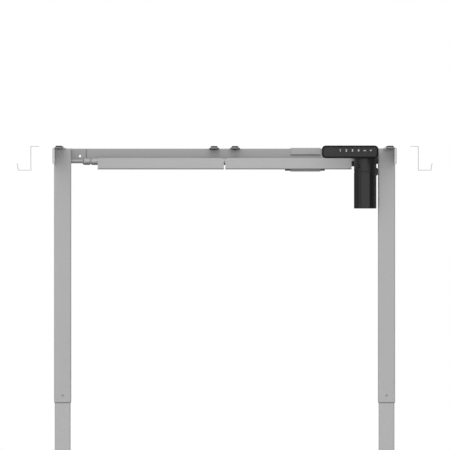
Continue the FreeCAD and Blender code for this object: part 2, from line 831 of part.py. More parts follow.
def side_bracket(side, sign):
    """The angle over a column that the table top lies along, with its hemmed outer flange."""
    outer = f"({LEG_X} + dims.LegWidth / 2 + dims.BracketGap + dims.HemWidth)"
    inner = f"({outer} - dims.StripWidth)"
    fold = f"({outer} - dims.HemWidth)"
    slot_out = f"({outer} - dims.HemWidth / 2 + dims.HemSlot / 2)"
    slot_in = f"({outer} - dims.HemWidth / 2 - dims.HemSlot / 2)"
    roof = f"({TOP} + dims.StrapRise)"
    ceiling = f"({roof} - dims.BracketSheet)"
    low = f"({TOP} - dims.BracketDrop)"
    slot_floor = f"({low} + (dims.HemWidth - dims.HemSlot) / 2)"
    # the sketch on the XZ plane is drawn in X and Z, and its pad runs towards -Y
    outline = [
        (inner, roof),
        (outer, roof),
        (outer, low),
        (fold, low),
        (fold, f"{ceiling} - 2 * dims.HemSlot"),
        (slot_in, f"{ceiling} - 2 * dims.HemSlot"),
        (slot_in, slot_floor),
        (slot_out, slot_floor),
        (slot_out, ceiling),
        (inner, ceiling),
    ]
    outline = [(f"{sign} * {across}", height) for across, height in outline]
    angle = profile_body(
        f"{side}Angle", "XZ_Plane", [outline], "dims.BracketLength", "0", "dims.BracketLength / 2"
    )
    face = leg_x + size("LegWidth") / 2 + size("BracketGap")
    along = Vector(0, 1, 0)
    round_edges(
        angle, "dims.BracketSheet - 0.2", along, 300, lambda p: abs(p.x) > face + 2 and p.z > top
    )
    foot_z = top - size("BracketDrop")
    round_edges(angle, 1.1, along, 300, lambda p: abs(p.z - foot_z) < 0.1)
    inner_x = face + size("HemWidth") - size("StripWidth")
    round_edges(
        angle, "dims.PadBase", Vector(0, 0, 1), 2, lambda p: abs(abs(p.x) - inner_x) < 0.1
    )
    tongue = box(
        f"{side}Tongue",
        "dims.LegWidth - 0.4",
        "dims.LegDepth",
        "dims.BracketSheet",
        f"{sign} * ({LEG_X} - 0.2) - (dims.LegWidth - 0.4) / 2",
        "-dims.LegDepth / 2",
        f"{TOP} + dims.BracketRise - dims.BracketSheet",
    )
    # beyond the column, the flange is folded once more, inwards
    thick = "(dims.ReturnWidth + 0.5)"
    run = "(dims.BracketLength / 2 - dims.LegDepth / 2 - 1.5)"
    return_x = f"({LEG_X} + dims.LegWidth / 2 + dims.BracketGap - dims.ReturnWidth)"
    returns = [
        box(
            f"{side}Return{i}",
            thick,
            run,
            f"{ceiling} - {low} + 0.3",
            f"{sign} * ({return_x} + {thick} / 2) - {thick} / 2",
            start,
            low,
        )
        for i, start in enumerate(("-dims.BracketLength / 2", "dims.LegDepth / 2 + 1.5"))
    ]
    x = f"{sign} * dims.SidePadX"
    spots = [(x, f"{end} * dims.SidePadY") for end in (-1, 1)]
    bosses = [boss(f"{side}Boss{i}", *spot) for i, spot in enumerate(spots)]
    solid = fuse(f"{side}AngleSolid", [angle, tongue] + returns + bosses)
    holes = [boss_hole(f"{side}BossHole{i}", *spot) for i, spot in enumerate(spots)]
    bolt_x = f"{sign} * ({LEG_X} + {BRACKET_BOLT_OUT})"
    for i, y in enumerate(BRACKET_BOLT_Y):
        holes.append(cylinder(f"{side}BoltHole{i}", 3.1, 20, bolt_x, y, f"{TOP} - 10"))
    for i, y in enumerate(SPARE_HOLE_Y):
        holes.append(cylinder(f"{side}TopHole{i}", "dims.SightHole", 20, x, y, f"{TOP} - 10"))
    keep(cut(f"{side}SideBracket", solid, holes), f"{side}_side_bracket")


SPARE_HOLE_Y = (-150, 150)


def grommet(x, y):
    """A rubber table pad: crown disc, neck through the cup and a lip below the sheet."""
    under = top + size("StrapRise") - size("BracketSheet")
    crown = top + size("CrownRise")
    face = crown + size("DiscHeight")
    bore = size("PadBore")
    lip = size("LipRadius")
    half = [
        (bore, under - 2.6),
        (lip - 0.4, under - 2.6),
        (lip, under - 2.2),
        (lip, under),
        (size("NeckRadius"), under),
        (size("NeckRadius"), crown),
        (size("DiscRadius"), crown),
        (size("DiscRadius"), face - 0.7),
        (size("DiscRadius") - 0.9, face),
        (4.4, face),
        (bore, face - 1.4),
    ]
    points = [Vector(r, 0, z) for r, z in half + half[:1]]
    ring = Part.Face(Part.makePolygon(points)).revolve(Vector(), Vector(0, 0, 1), 360)
    ring.Placement = Placement(Vector(x, y, 0), Rotation())
    return ring


def grommets():
    """The eight rubber table pads: four on the rail's straps and two on each side bracket."""
    front = size("RailFront") - size("PadReach")
    rear = rail_back + size("PadReach")
    pads = [grommet(s * size("StrapX"), y) for s in (-1, 1) for y in (front, rear)]
    for sign in (-1, 1):
        pads += [grommet(sign * size("SidePadX"), e * size("SidePadY")) for e in (-1, 1)]
    feature("table_pads", Part.makeCompound(pads))


# ---------------------------------------------------------------- drive line


def involute(base, radius):
    """The involute's polar angle at a radius."""
    if radius <= base:
        return 0.0
    angle = math.acos(base / radius)
    return math.tan(angle) - angle


def tooth_outline(teeth, radii, half_angle, phase):
    """A closed gear outline: radii go from root to tip, half_angle gives the half tooth there."""
    points = []
    for i in range(teeth):
        middle = 2 * math.pi * i / teeth + phase
        rising = [(r, middle - half_angle(r)) for r in radii]
        falling = [(r, middle + half_angle(r)) for r in reversed(radii)]
        points += [Vector(r * math.cos(a), r * math.sin(a), 0) for r, a in rising + falling]
    return points


PRESSURE = math.radians(20)
THINNING = 0.90


def bevel_gear(phase):
    """A 45 degree straight bevel gear whose apex is the origin, with its teeth below it."""
    teeth = int(size("BevelTeeth"))
    pitch = size("BevelRadius")
    module = 2 * pitch / teeth
    cone_length = pitch * math.sqrt(2)
    virtual = pitch * math.sqrt(2)
    base = virtual * math.cos(PRESSURE)
    half_pitch = math.pi * module / 4 / virtual * THINNING + involute(base, virtual)
    steps = [-1.2, -0.7, -0.2, 0.3, 0.9]
    flank = {}
    for step in steps:
        height = step * module
        radius = pitch * math.tan(math.pi / 4 + math.atan(height / cone_length))
        along = virtual + height
        flank[round(radius, 6)] = (half_pitch - involute(base, along)) * math.sqrt(2)
    radii = sorted(flank)
    outline = tooth_outline(teeth, radii, lambda r: flank[r], phase)
    wires = []
    for distance in (pitch, pitch - size("BevelFace")):
        share = distance / pitch
        ring = [Vector(p.x * share, p.y * share, -distance) for p in outline]
        wires.append(Part.makePolygon(ring + ring[:1]))
    return Part.makeLoft(wires, True, True)


def pinions():
    """The two bevel pinions on the cross shaft, each with the hub that takes the hexagon."""
    gears = []
    for sign in (-1, 1):
        teeth = bevel_gear(math.pi / size("BevelTeeth"))
        start = size("BevelRadius")
        hub = Part.makeCylinder(HUB_RADIUS, 9.3, Vector(0, 0, -start - 9.3))
        collar = Part.makeCone(HUB_RADIUS + 2, 10, 1.5, Vector(0, 0, -start - 1.5))
        gear = teeth.fuse([hub, collar])
        gear = gear.cut(hexagon(size("HexFlats") + 0.1, 10.4, Vector(0, 0, -start - 9.4), "z"))
        turn = Rotation(Vector(0, 1, 0), 90 * sign)
        gear.Placement = Placement(Vector(sign * leg_x, shaft_y, shaft_z), turn)
        gears.append(gear)
    feature("bevel_pinions", Part.makeCompound(gears))


def spindle(side, sign):
    """The lifting spindle: screw, end stop and top journal, with its own bevel gear."""
    x = sign * leg_x
    head = shaft_z - size("BevelRadius") - 5.4
    long = size("SpindleLength")
    low = head - 11 - long
    screw = Part.makeCylinder(size("SpindleRadius"), long, Vector(x, shaft_y, low))
    journal = Part.makeCylinder(size("JournalRadius"), 20, Vector(x, shaft_y, head - 12))
    stop = Part.makeCylinder(9, 5, Vector(x, shaft_y, low - 5))
    feature(f"{side}_spindle", screw.fuse([journal, stop]).removeSplitter())

    teeth = bevel_gear(0)
    start = size("BevelRadius")
    hub = Part.makeCylinder(10, 5.2, Vector(0, 0, -start - 5.2))
    bore = Part.makeCylinder(size("JournalRadius"), 13.8, Vector(0, 0, -start - 5.4))
    gear = teeth.fuse(hub).cut(bore)
    gear.Placement = Placement(Vector(x, shaft_y, shaft_z), Rotation())
    feature(f"{side}_bevel_gear", gear)


def cross_shaft():
    """The telescopic cross shaft: two hexagonal bars, the sleeve and its clamp collar."""
    flats = size("HexFlats")
    line = Vector(0, shaft_y, shaft_z)
    end = leg_x - size("BevelRadius") - 0.4
    x_axis = Vector(1, 0, 0)

    def bar(start, finish, width):
        return hexagon(width, finish - start, line + x_axis * start, "x")

    feature("hex_bars", Part.makeCompound([bar(-end, -95, flats), bar(230, end, flats)]))

    radius = size("SleeveRadius")
    sleeve_end = size("SleeveEnd")
    near = size("CollarStart")
    far = size("CollarEnd")

    def turned(low, high, length, start):
        """A turned length of the sleeve or the collar, from a place along X."""
        return Part.makeCone(low, high, length, line + x_axis * start, x_axis)

    def rod(width, start, finish):
        return Part.makeCylinder(width, finish - start, line + x_axis * start, x_axis)

    sleeve = rod(radius, SLEEVE_BEVEL - sleeve_end, SLEEVE_RIGHT)
    nose = turned(radius - SLEEVE_BEVEL, radius, SLEEVE_BEVEL, -sleeve_end)
    neck = rod(NECK_RADIUS, -near + 0.05, -sleeve_end + 1)
    bore = bar(-sleeve_end - 5, SLEEVE_RIGHT + 1, flats + 0.4)
    feature("drive_sleeve", sleeve.fuse([nose, neck]).cut(bore).removeSplitter())

    body = rod(radius, COLLAR_NOSE - far, -near - SLEEVE_BEVEL)
    tip = turned(radius - 2.8, radius, COLLAR_NOSE, -far)
    rear = turned(radius, radius - SLEEVE_BEVEL, SLEEVE_BEVEL, -near - SLEEVE_BEVEL)
    ring = body.fuse([tip, rear]).cut(bar(-far - 1, -near + 1, flats + 0.4))
    screw_line = line - x_axis * ((near + far - 2) / 2)
    tapped = Part.makeCylinder(2, 20, screw_line, Vector(0, 0, -1))
    set_screw = Part.makeCylinder(
        1.95, 3.2, screw_line - Vector(0, 0, flats / 2 + 0.25), Vector(0, 0, -1)
    )
    collar = ring.cut(tapped).removeSplitter()
    feature("clamp_collar", Part.makeCompound([collar, set_screw]))


SLEEVE_RIGHT = 326
SLEEVE_BEVEL = 1.3
NECK_RADIUS = 6.6
COLLAR_NOSE = 4


def worm_set():
    """The worm wheel on the cross shaft and the worm on the motor shaft."""
    module = size("GearModule")
    teeth = int(size("WheelTeeth"))
    pitch = module * teeth / 2
    worm_pitch = math.pi * module
    lead_slope = worm_pitch / (2 * math.pi * size("WormRadius"))
    base = pitch * math.cos(PRESSURE)
    half_pitch = math.pi / 2 / teeth * 0.88 + involute(base, pitch)
    radii = [pitch + module * step for step in (-1.2, -0.8, -0.35, 0.1, 0.55, 0.95)]

    def half_angle(radius):
        return half_pitch - involute(base, radius)

    # a tooth space faces the worm, so the outline is turned by half a tooth
    width = size("WheelWidth")
    wires = []
    for i in range(3):
        offset = width * (i / 2 - 0.5)
        twist = lead_slope * offset / pitch
        outline = tooth_outline(teeth, radii, half_angle, math.pi + math.pi / teeth + twist)
        ring = [Vector(offset, p.x, p.y) for p in outline]
        wires.append(Part.makePolygon(ring + ring[:1]))
    blank = Part.makeLoft(wires, True, True)
    hub = Part.makeCylinder(8.4, 36, Vector(-18, 0, 0), Vector(1, 0, 0))
    wheel = blank.fuse(hub)
    wheel = wheel.cut(hexagon(size("HexFlats") + 0.1, 40, Vector(-20, 0, 0), "x"))
    wheel.Placement = Placement(Vector(size("MotorX"), shaft_y, shaft_z), Rotation())
    feature("worm_wheel", wheel)

    tip = size("WormRadius") + module * 0.95
    root = size("WormRadius") - module * 1.2
    turns = 6
    slope = math.tan(PRESSURE)
    tip_half = worm_pitch / 4 * 0.88 - module * 0.95 * slope
    root_half = worm_pitch / 4 * 0.88 + module * 1.2 * slope
    inside = root - 0.4
    inside_half = root_half + 0.4 * slope
    section = Part.makePolygon(
        [
            Vector(inside, 0, -inside_half),
            Vector(tip, 0, -tip_half),
            Vector(tip, 0, tip_half),
            Vector(inside, 0, inside_half),
            Vector(inside, 0, -inside_half),
        ]
    )
    spine = Part.Wire(Part.makeHelix(worm_pitch, turns * worm_pitch, size("WormRadius")))
    thread = spine.makePipeShell([section], True, True)
    # the helix starts on +X at its foot; a quarter turn later it faces the wheel, on +Y
    thread.translate(Vector(0, 0, -worm_pitch * (turns // 2 + 0.25)))
    low = -(size("MotorDrop") - size("ShaftDrop")) + 9
    core = Part.makeCylinder(root, 23, Vector(0, 0, -11.5))
    shaft = Part.makeCylinder(4, -low + 20, Vector(0, 0, low))
    solid = core.fuse([shaft, thread])
    solid.Placement = Placement(Vector(size("MotorX"), motor_y, shaft_z), Rotation())
    feature("motor_shaft", solid)


# ---------------------------------------------------------------- motor


GEARBOX_DROP = 9
SEAM_HEIGHT = 1.8
SEAM_DEPTH = 0.8


def motor():
    """The motor: can, magnets, end cap, bearings, and the worm gearbox above it."""
    x = size("MotorX")
    radius = size("MotorRadius")
    bottom = top - size("MotorDrop")
    split = top - size("MotorSplit")
    cap = 3.6
    wall = size("MotorWall")
    axis = Vector(x, motor_y, 0)

    def tube(r_out, r_in, z0, z1):
        at = axis + Vector(0, 0, z0)
        outer = Part.makeCylinder(r_out, z1 - z0, at)
        return outer.cut(Part.makeCylinder(r_in, z1 - z0, at)) if r_in else outer

    can = tube(radius, radius - wall, bottom + cap, split - SEAM_HEIGHT).fuse(
        tube(radius - SEAM_DEPTH, radius - wall, split - SEAM_HEIGHT, split)
    )
    feature("motor_can", can.removeSplitter())
    pocket = tube(4.04, 0, bottom + cap - 1.2, bottom + cap + 9)
    end_cap = tube(radius, 0, bottom, bottom + cap).fuse(
        [tube(radius - wall - 0.1, radius - wall - 3, bottom + cap, bottom + cap + 6)]
        + [tube(12, 0, bottom + cap, bottom + cap + 8)]
    )
    edge = [e for e in end_cap.Edges if e.Length > 150 and abs(e.BoundBox.ZMin - bottom) < 0.01]
    end_cap = end_cap.cut(pocket).makeChamfer(0.8, edge)
    feature("motor_end_cap", end_cap)

    magnets = []
    ring = tube(radius - wall - 0.1, 20, bottom + 24, split - 16)
    for facing in (-1, 1):
        block = Part.makeBox(60, 40, 300, Vector(x - 30, motor_y + (4 if facing > 0 else -44), bottom))
        magnets.append(ring.common(block))
    feature("motor_magnets", Part.makeCompound(magnets))

    core = tube(18.6, 4, bottom + 28, split - 20)
    slots = []
    for i in range(12):
        slot = Part.makeBox(8, 3, 200, Vector(13, -1.5, bottom))
        slot.Placement = Placement(axis, Rotation(Vector(0, 0, 1), 30 * i))
        slots.append(slot)
    windings = [
        tube(14.5, 4.2, z0, z1) for z0, z1 in ((bottom + 22, bottom + 28), (split - 20, split - 14))
    ]
    commutator = tube(7, 4.02, bottom + 13, bottom + 21.5)
    feature("armature", Part.makeCompound([core.cut(slots), commutator] + windings))


def gearbox():
    """The worm gearbox: its housing round the worm and wheel, with a lug, and its side cover."""
    x = size("MotorX")
    radius = size("MotorRadius")
    split = top - size("MotorSplit")
    ceiling = top - GEARBOX_DROP
    axis = Vector(x, motor_y, 0)
    line = Vector(x, shaft_y, shaft_z)
    x_axis = Vector(1, 0, 0)
    wide = 2 * radius - 1
    left = x - wide / 2
    back = shaft_y + 22
    tower = Part.makeCylinder(
        radius, ceiling - split - SEAM_HEIGHT, axis + Vector(0, 0, split + SEAM_HEIGHT)
    ).fuse(Part.makeCylinder(radius - SEAM_DEPTH, SEAM_HEIGHT, axis + Vector(0, 0, split)))
    nose = Part.makeBox(wide, back - motor_y, ceiling - split - 6, Vector(left, motor_y, split + 4))
    shell = tower.fuse(nose)
    shell = shell.makeFillet(3, [e for e in shell.Edges if abs(e.CenterOfMass.y - back) < 0.1])
    wall_x = leg_x - size("LegWidth") / 2
    right_boss = Part.makeCylinder(
        RIGHT_BOSS, wall_x - 0.3 - x, line + Vector(0, 0, RIGHT_BOSS_RISE), x_axis
    )

    lug_left = x + radius - 4.5
    lug = Part.makeBox(wall_x - lug_left, 14, 20, Vector(lug_left, motor_y + 8, top - 71))
    corners = [
        e for e in lug.Edges if abs(e.tangentAt(0).y) > 0.9 and e.CenterOfMass.x > wall_x - 1
    ]
    lug = lug.makeChamfer(2.5, corners)
    lug = lug.cut(Part.makeCylinder(radius + 0.2, 100, axis + Vector(0, 0, split - 100)))
    shell = shell.fuse([right_boss, lug])

    rooms = [
        Part.makeCylinder(18.6, x + 7 - left, Vector(left, shaft_y, shaft_z), x_axis),
        Part.makeCylinder(8.5, 19, line, x_axis),
        Part.makeCylinder(SHAFT_CLEAR, 60, line, x_axis),
        Part.makeCylinder(7.6, top - 21 - split + 2, axis + Vector(0, 0, split - 2)),
        Part.makeCylinder(4.04, 10, axis + Vector(0, 0, top - 23.5)),
    ]
    rooms += [Part.makeCylinder(1.6, 9, Vector(px, py, ceiling - 9)) for px, py in gearbox_screw_spots()]
    feature("gearbox_housing", shell.cut(rooms).removeSplitter())

    plug = Part.makeCylinder(18.5, 8, Vector(left, shaft_y, shaft_z), x_axis)
    start = size("TrayOuter") - 0.5
    flange = Part.makeCylinder(
        LEFT_FLANGE, left - start, Vector(start, shaft_y, shaft_z - LEFT_FLANGE_DROP), x_axis
    )
    bore = Part.makeCylinder(SHAFT_CLEAR, 60, Vector(start - 4, shaft_y, shaft_z), x_axis)
    feature("gearbox_cover", plug.fuse(flange).cut(bore).removeSplitter())


SHAFT_CLEAR = 6
RIGHT_BOSS = 8.2
RIGHT_BOSS_RISE = 1.6
LEFT_FLANGE = 8.9
LEFT_FLANGE_DROP = 4.4


# ---------------------------------------------------------------- trays and control box


def tray(side, sign):
    """A cable tray: its front panel and floor pass under the drive line, its back is screwed on."""
    back = f"({RAIL_BACK} + dims.TraySheet)"
    front = "dims.TrayFront"
    sheet_t = "dims.TraySheet"
    low = f"({TOP} - dims.TrayBottom)"
    outline = [
        (front, f"{TOP} - dims.TrayTop"),
        (front, low),
        (back, low),
        (back, f"{TOP} - 6"),
        (f"{back} - {sheet_t}", f"{TOP} - 6"),
        (f"{back} - {sheet_t}", f"{low} + {sheet_t}"),
        (f"{front} + {sheet_t}", f"{low} + {sheet_t}"),
        (f"{front} + {sheet_t}", f"{TOP} - dims.TrayTop"),
    ]
    start = "-dims.TrayOuter" if sign < 0 else "dims.TrayInner"
    name = f"{side}TrayBlank"
    body = profile_body(name, "YZ_Plane", [outline], "dims.TrayOuter - dims.TrayInner", start)
    floor = top - size("TrayBottom")
    round_edges(body, "dims.TrayBend", Vector(1, 0, 0), 200, lambda p: p.z < floor + 0.1)
    inner_z = floor + size("TraySheet")
    round_edges(
        body,
        f"dims.TrayBend - {sheet_t}",
        Vector(1, 0, 0),
        200,
        lambda p: abs(p.z - inner_z) < 0.1 and abs(p.y) < 40,
    )
    panel_top = top - size("TrayTop")
    across = Vector(0, 1, 0)
    # the edges are found in the body's own frame, where X starts at the tray's left end
    ends = [("dims.TrayInnerRound", sign > 0), ("dims.TrayOuterRound", sign < 0)]
    for radius, at_start in ends:
        round_edges(
            body,
            radius,
            across,
            1,
            lambda p: abs(p.z - panel_top) < 0.1 and (abs(p.x) < 100) == at_start,
        )
    mid = f"{TOP} - dims.RailHeight / 2"
    holes = [
        cylinder(f"{side}TrayScrewHole{x}", 2.1, 20, sign * x, f"{RAIL_BACK} - 6", mid, "y")
        for x in TRAY_SCREW_X
    ]
    slots = []
    for i, x in enumerate((90, 210)):
        slots.append(
            box(f"{side}TraySlot{i}", 40, 12, 20, f"{sign} * {x + 20} - 20", -6, f"{low} - 10")
        )
    keep(cut(f"{side}Tray", body, holes + slots), f"{side}_cable_tray")


def tray_screws():
    z = top - size("RailHeight") / 2
    seat = rail_back + size("TraySheet")
    length = size("TraySheet") + size("RailWall")
    screws = [
        button_screw(2, length, sign * x, seat, z, "+y")
        for sign in (-1, 1)
        for x in TRAY_SCREW_X
        if not (sign > 0 and 150 < x < 270)
    ]
    feature("tray_screws", Part.makeCompound(screws))


def cradle():
    """The sheet cradle that hooks over the rail and holds the control box behind it."""
    lip = "(dims.RailFront - dims.CradleSheet)"
    wall = f"({RAIL_BACK} + dims.TraySheet + 0.3)"
    sheet_t = "dims.CradleSheet"
    roof = f"({TOP} + {sheet_t})"
    low = f"({TOP} - dims.CradleBottom)"
    back = f"({wall} + {sheet_t} + dims.BoxDepth + 0.6 + {sheet_t})"
    outline = [
        (lip, roof),
        (lip, f"{TOP} - dims.CradleLip"),
        (f"{lip} + {sheet_t}", f"{TOP} - dims.CradleLip"),
        (f"{lip} + {sheet_t}", TOP),
        (wall, TOP),
        (wall, low),
        (back, low),
        (back, f"{low} + 24"),
        (f"{back} - {sheet_t}", f"{low} + 24"),
        (f"{back} - {sheet_t}", f"{low} + {sheet_t}"),
        (f"{wall} + {sheet_t}", f"{low} + {sheet_t}"),
        (f"{wall} + {sheet_t}", roof),
    ]
    body = profile_body("Cradle", "YZ_Plane", [outline], "dims.CradleWidth", "dims.CradleLeft")
    round_edges(body, 1.6, Vector(1, 0, 0), 20, lambda p: p.z > top + 1 and p.y > 0)
    keep(body, "control_box_cradle")


def control_box():
    """The control box: a base tray, a cover, the board and its three sockets."""
    left = size("BoxLeft")
    wide = size("BoxWidth")
    deep = size("BoxDepth")
    high = size("BoxHeight")
    front = rail_back + size("TraySheet") + 0.3 + size("CradleSheet") + 0.3
    floor = top - size("CradleBottom") + size("CradleSheet") + 0.1
    wall = 2
    parting = floor + high * 0.55

    def shell(z0, z1, closed_low):
        block = Part.makeBox(wide, deep, z1 - z0, Vector(left, front, z0))
        upright = [e for e in block.Edges if abs(e.tangentAt(0).z) > 0.9]
        block = block.makeFillet(3, upright)
        inner_z = z0 + wall if closed_low else z0
        room = Part.makeBox(
            wide - 2 * wall, deep - 2 * wall, z1 - z0 - wall, Vector(left + wall, front + wall, inner_z)
        )
        return block.cut(room)

    base = shell(floor, parting, True)
    rim = [e for e in base.Edges if abs(e.CenterOfMass.z - floor) < 0.01 and e.Length > 1]
    base = base.makeChamfer(1.2, rim)
    windows = [
        Part.makeBox(wall * 3, w, h, Vector(left + wide - 2 * wall, front + y, floor + z))
        for y, z, w, h in SOCKETS
    ]
    feature("control_box_base", base.cut(windows))
    cover = shell(parting, floor + high, False)
    roof = [e for e in cover.Edges if abs(e.CenterOfMass.z - floor - high) < 0.01]
    feature("control_box_cover", cover.makeChamfer(1.2, roof))

    board_z = floor + 6
    board = Part.makeBox(wide - 8, deep - 8, 1.6, Vector(left + 4, front + 4, board_z))
    tall = [
        Part.makeBox(26, 22, 24, Vector(left + 12, front + 9, board_z + 1.6)),
        Part.makeCylinder(8, 26, Vector(left + 52, front + 15, board_z + 1.6)),
        Part.makeCylinder(5, 18, Vector(left + 52, front + 30, board_z + 1.6)),
        Part.makeBox(14, 16, 12, Vector(left + 66, front + 8, board_z + 1.6)),
    ]
    for y, z, w, h in SOCKETS:
        corner = Vector(left + wide - 12.2, front + y + 0.2, floor + z + 0.2)
        block = Part.makeBox(12, w - 0.4, h - 0.4, corner)
        foot_height = corner.z - board_z - 1.6
        pedestal = Part.makeBox(9.6, w - 0.4, foot_height, corner - Vector(0, 0, foot_height))
        mouth = Part.makeBox(
            9, w - 3, h - 3, Vector(left + wide - 9.2, front + y + 1.5, floor + z + 1.5)
        )
        tall.append(block.fuse(pedestal).cut(mouth))
    feature("control_board", board.fuse(tall).removeSplitter())


# Each socket on the control box: place and size across the end wall.
SOCKETS = [(5, 9, 12, 9), (19, 9, 7, 9), (28, 9, 7, 9)]


# ---------------------------------------------------------------- handset

KEYS = ["key_1", "key_2", "key_3", "key_4", "key_up", "key_down"]
HANDSET_BEVEL = 3


def rounded_slab(width, height, depth, centre, radius, y0):
    """A slab in the XZ plane with rounded corners, from y0 towards +Y."""
    slab = Part.makeBox(
        width, depth, height, Vector(centre.x - width / 2, y0, centre.z - height / 2)
    )
    return slab.makeFillet(radius, [e for e in slab.Edges if abs(e.tangentAt(0).y) > 0.9])


def handset():
    """The hand control: front and back shells, board, display lens, keys and bracket."""
    wide = size("HandsetWidth")
    high = size("HandsetHeight")
    face = size("HandsetFace")
    deep = size("HandsetDepth")
    centre = Vector(size("HandsetX"), 0, top + size("HandsetTop") - high / 2)
    wall = 2

    body = rounded_slab(wide, high, deep, centre, size("HandsetRound"), face)
    rim = [e for e in body.Edges if abs(e.CenterOfMass.y - face) < 0.01]
    body = body.makeChamfer(HANDSET_BEVEL, rim)
    room = rounded_slab(wide - 2 * wall, high - 2 * wall, deep, centre, 8, face + wall)
    key_z = top - size("KeyDrop")
    spots = [centre.x + size("KeyFirst") + size("KeyPitch") * i for i in range(len(KEYS))]
    windows = [
        rounded_slab(
            size("KeyWidth") + 0.6, size("KeyHeight") + 0.6, 10, Vector(x, 0, key_z), 2.3, face - 1
        )
        for x in spots
    ]
    lens_x = centre.x - wide / 2 + 23
    windows.append(rounded_slab(30.2, 16.2, 10, Vector(lens_x, 0, key_z), 2.1, face - 1))
    feature("handset_front", body.cut([room] + windows))
    lens = rounded_slab(30, 16, 1.4, Vector(lens_x, 0, key_z), 2, face)
    lens_rim = rounded_slab(33, 19, 0.8, Vector(lens_x, 0, key_z), 2, face + wall)
    feature("handset_lens", lens.fuse(lens_rim.common(
        Part.makeBox(400, 0.8, 400, Vector(0, face + wall, key_z - 200)))).fuse(
        rounded_slab(30, 16, wall, Vector(lens_x, 0, key_z), 2, face)).removeSplitter())

    for name, x in zip(KEYS, spots):
        spot = Vector(x, 0, key_z)
        cap = rounded_slab(size("KeyWidth"), size("KeyHeight"), 3.4, spot, 2, face)
        skirt = rounded_slab(size("KeyWidth") + 2, size("KeyHeight") + 2, 1, spot, 2, face + 2.4)
        feature(name, cap.fuse(skirt).removeSplitter())

    board = Part.makeBox(
        wide - 10, 1.6, high - 8, Vector(centre.x - wide / 2 + 5, face + 5, centre.z - high / 2 + 4)
    )
    feature("handset_board", board)

    back = rounded_slab(wide - 0.6, high - 0.6, 2.2, centre, size("HandsetRound") - 0.3, face + deep)
    hump = rounded_slab(wide - 24, high - 8, 11, centre, 5, face + deep + 2.2)
    feature("handset_back", back.fuse(hump).removeSplitter())

    # the bracket hangs on the rail and carries the handset by its back shell
    sheet_t = 2
    back_y = face + deep + 13.2
    reach = size("RailFront") + 14
    arm_left = centre.x - 48
    roof = Part.makeBox(44, reach - back_y, sheet_t, Vector(arm_left, back_y, top + 0.02))
    plate = Part.makeBox(44, sheet_t, 22, Vector(arm_left, back_y, top - 20))
    holes = [
        Part.makeCylinder(2.2, 20, Vector(arm_left + dx, y, top - 10))
        for dx in (12, 32)
        for y in (-52, -30)
    ]
    feature("handset_bracket", roof.fuse(plate).cut(holes).removeSplitter())


# ---------------------------------------------------------------- bag hooks


def hook(side, sign):
    """A bent strip hook that screws under the table top beside the column."""
    x = f"({sign} * dims.HookX)"
    roof = f"({TOP} + dims.CrownRise + dims.DiscHeight)"
    low = f"({TOP} - dims.HookDrop)"
    sheet_t = "dims.HookSheet"
    tip_x = f"{x} + {sign} * (dims.HookFloor + dims.HookFlare)"
    outline = [
        (f"{x} - {sign} * dims.HookFlange", roof),
        (f"{x} + {sign} * {sheet_t}", roof),
        (f"{x} + {sign} * {sheet_t}", f"{low} + {sheet_t}"),
        (f"{x} + {sign} * (dims.HookFloor - {sheet_t})", f"{low} + {sheet_t}"),
        (f"{tip_x} - {sign} * {sheet_t}", f"{low} + dims.HookLip"),
        (tip_x, f"{low} + dims.HookLip"),
        (f"{x} + {sign} * dims.HookFloor", low),
        (x, low),
        (x, f"{roof} - {sheet_t}"),
        (f"{x} - {sign} * dims.HookFlange", f"{roof} - {sheet_t}"),
    ]
    body = profile_body(f"{side}HookBlank", "XZ_Plane", [outline], "dims.HookWidth", "0", HOOK_BACK)
    holes = [
        cylinder(f"{side}HookHole{i}", 2.2, 12, f"{x} - {sign} * 11", y, f"{roof} - 8")
        for i, y in enumerate(HOOK_HOLE_Y)
    ]
    return cut(f"{side}Hook", body, holes)


HOOK_BACK = "dims.HookWidth / 2"
HOOK_HOLE_Y = (-12, 12)


# ---------------------------------------------------------------- assembly


def build():
    for side, sign in SIDES.items():
        foot(side, sign)
        for end, y in zip(("front", "rear"), stud_places()):
            leveller(side, sign, end, y)
        lower_tube(side, sign)
        nut_block(side, sign)
        outer_tube(side, sign)
        beam_end(side, sign)
        side_bracket(side, sign)
        spindle(side, sign)
        tray(side, sign)
    keep(group("BagHooks", [hook(side, sign) for side, sign in SIDES.items()]), "bag_hooks")
    lower_bushings()
    head_gearboxes()
    pinions()
    main_rail()
    frame_bolts()
    small_screws()
    grommets()
    cross_shaft()
    worm_set()
    motor()
    gearbox()
    tray_screws()
    cradle()
    control_box()
    handset()
    doc.recompute()


def check_and_export():
    """Stops on any failed object or bad shape, then writes each sub-part to its STEP file."""
    failed = [o.Name for o in doc.Objects if {"Invalid", "Error"} & set(o.State)]
    if failed:
        raise RuntimeError(f"failed objects: {failed}")
    for label, obj in parts.items():
        if obj.Shape.isNull() or not obj.Shape.isValid() or not obj.Shape.Solids:
            raise RuntimeError(f"{label} has no valid solid")
    os.makedirs("parts", exist_ok=True)
    for label, obj in parts.items():
        obj.Shape.exportStep(f"parts/{label}.step")
        print(f"{label}: {len(obj.Shape.Solids)} solids, {obj.Shape.Volume:.0f} mm3")
    print(len(parts), "sub-parts")


build()
check_and_export()
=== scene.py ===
"""Looks for the motorised lifting frame: a two-column linear actuator with its beam and controls.

Everything is in metres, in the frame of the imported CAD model: +X right, +Y to the rear, +Z up.
"""
import math

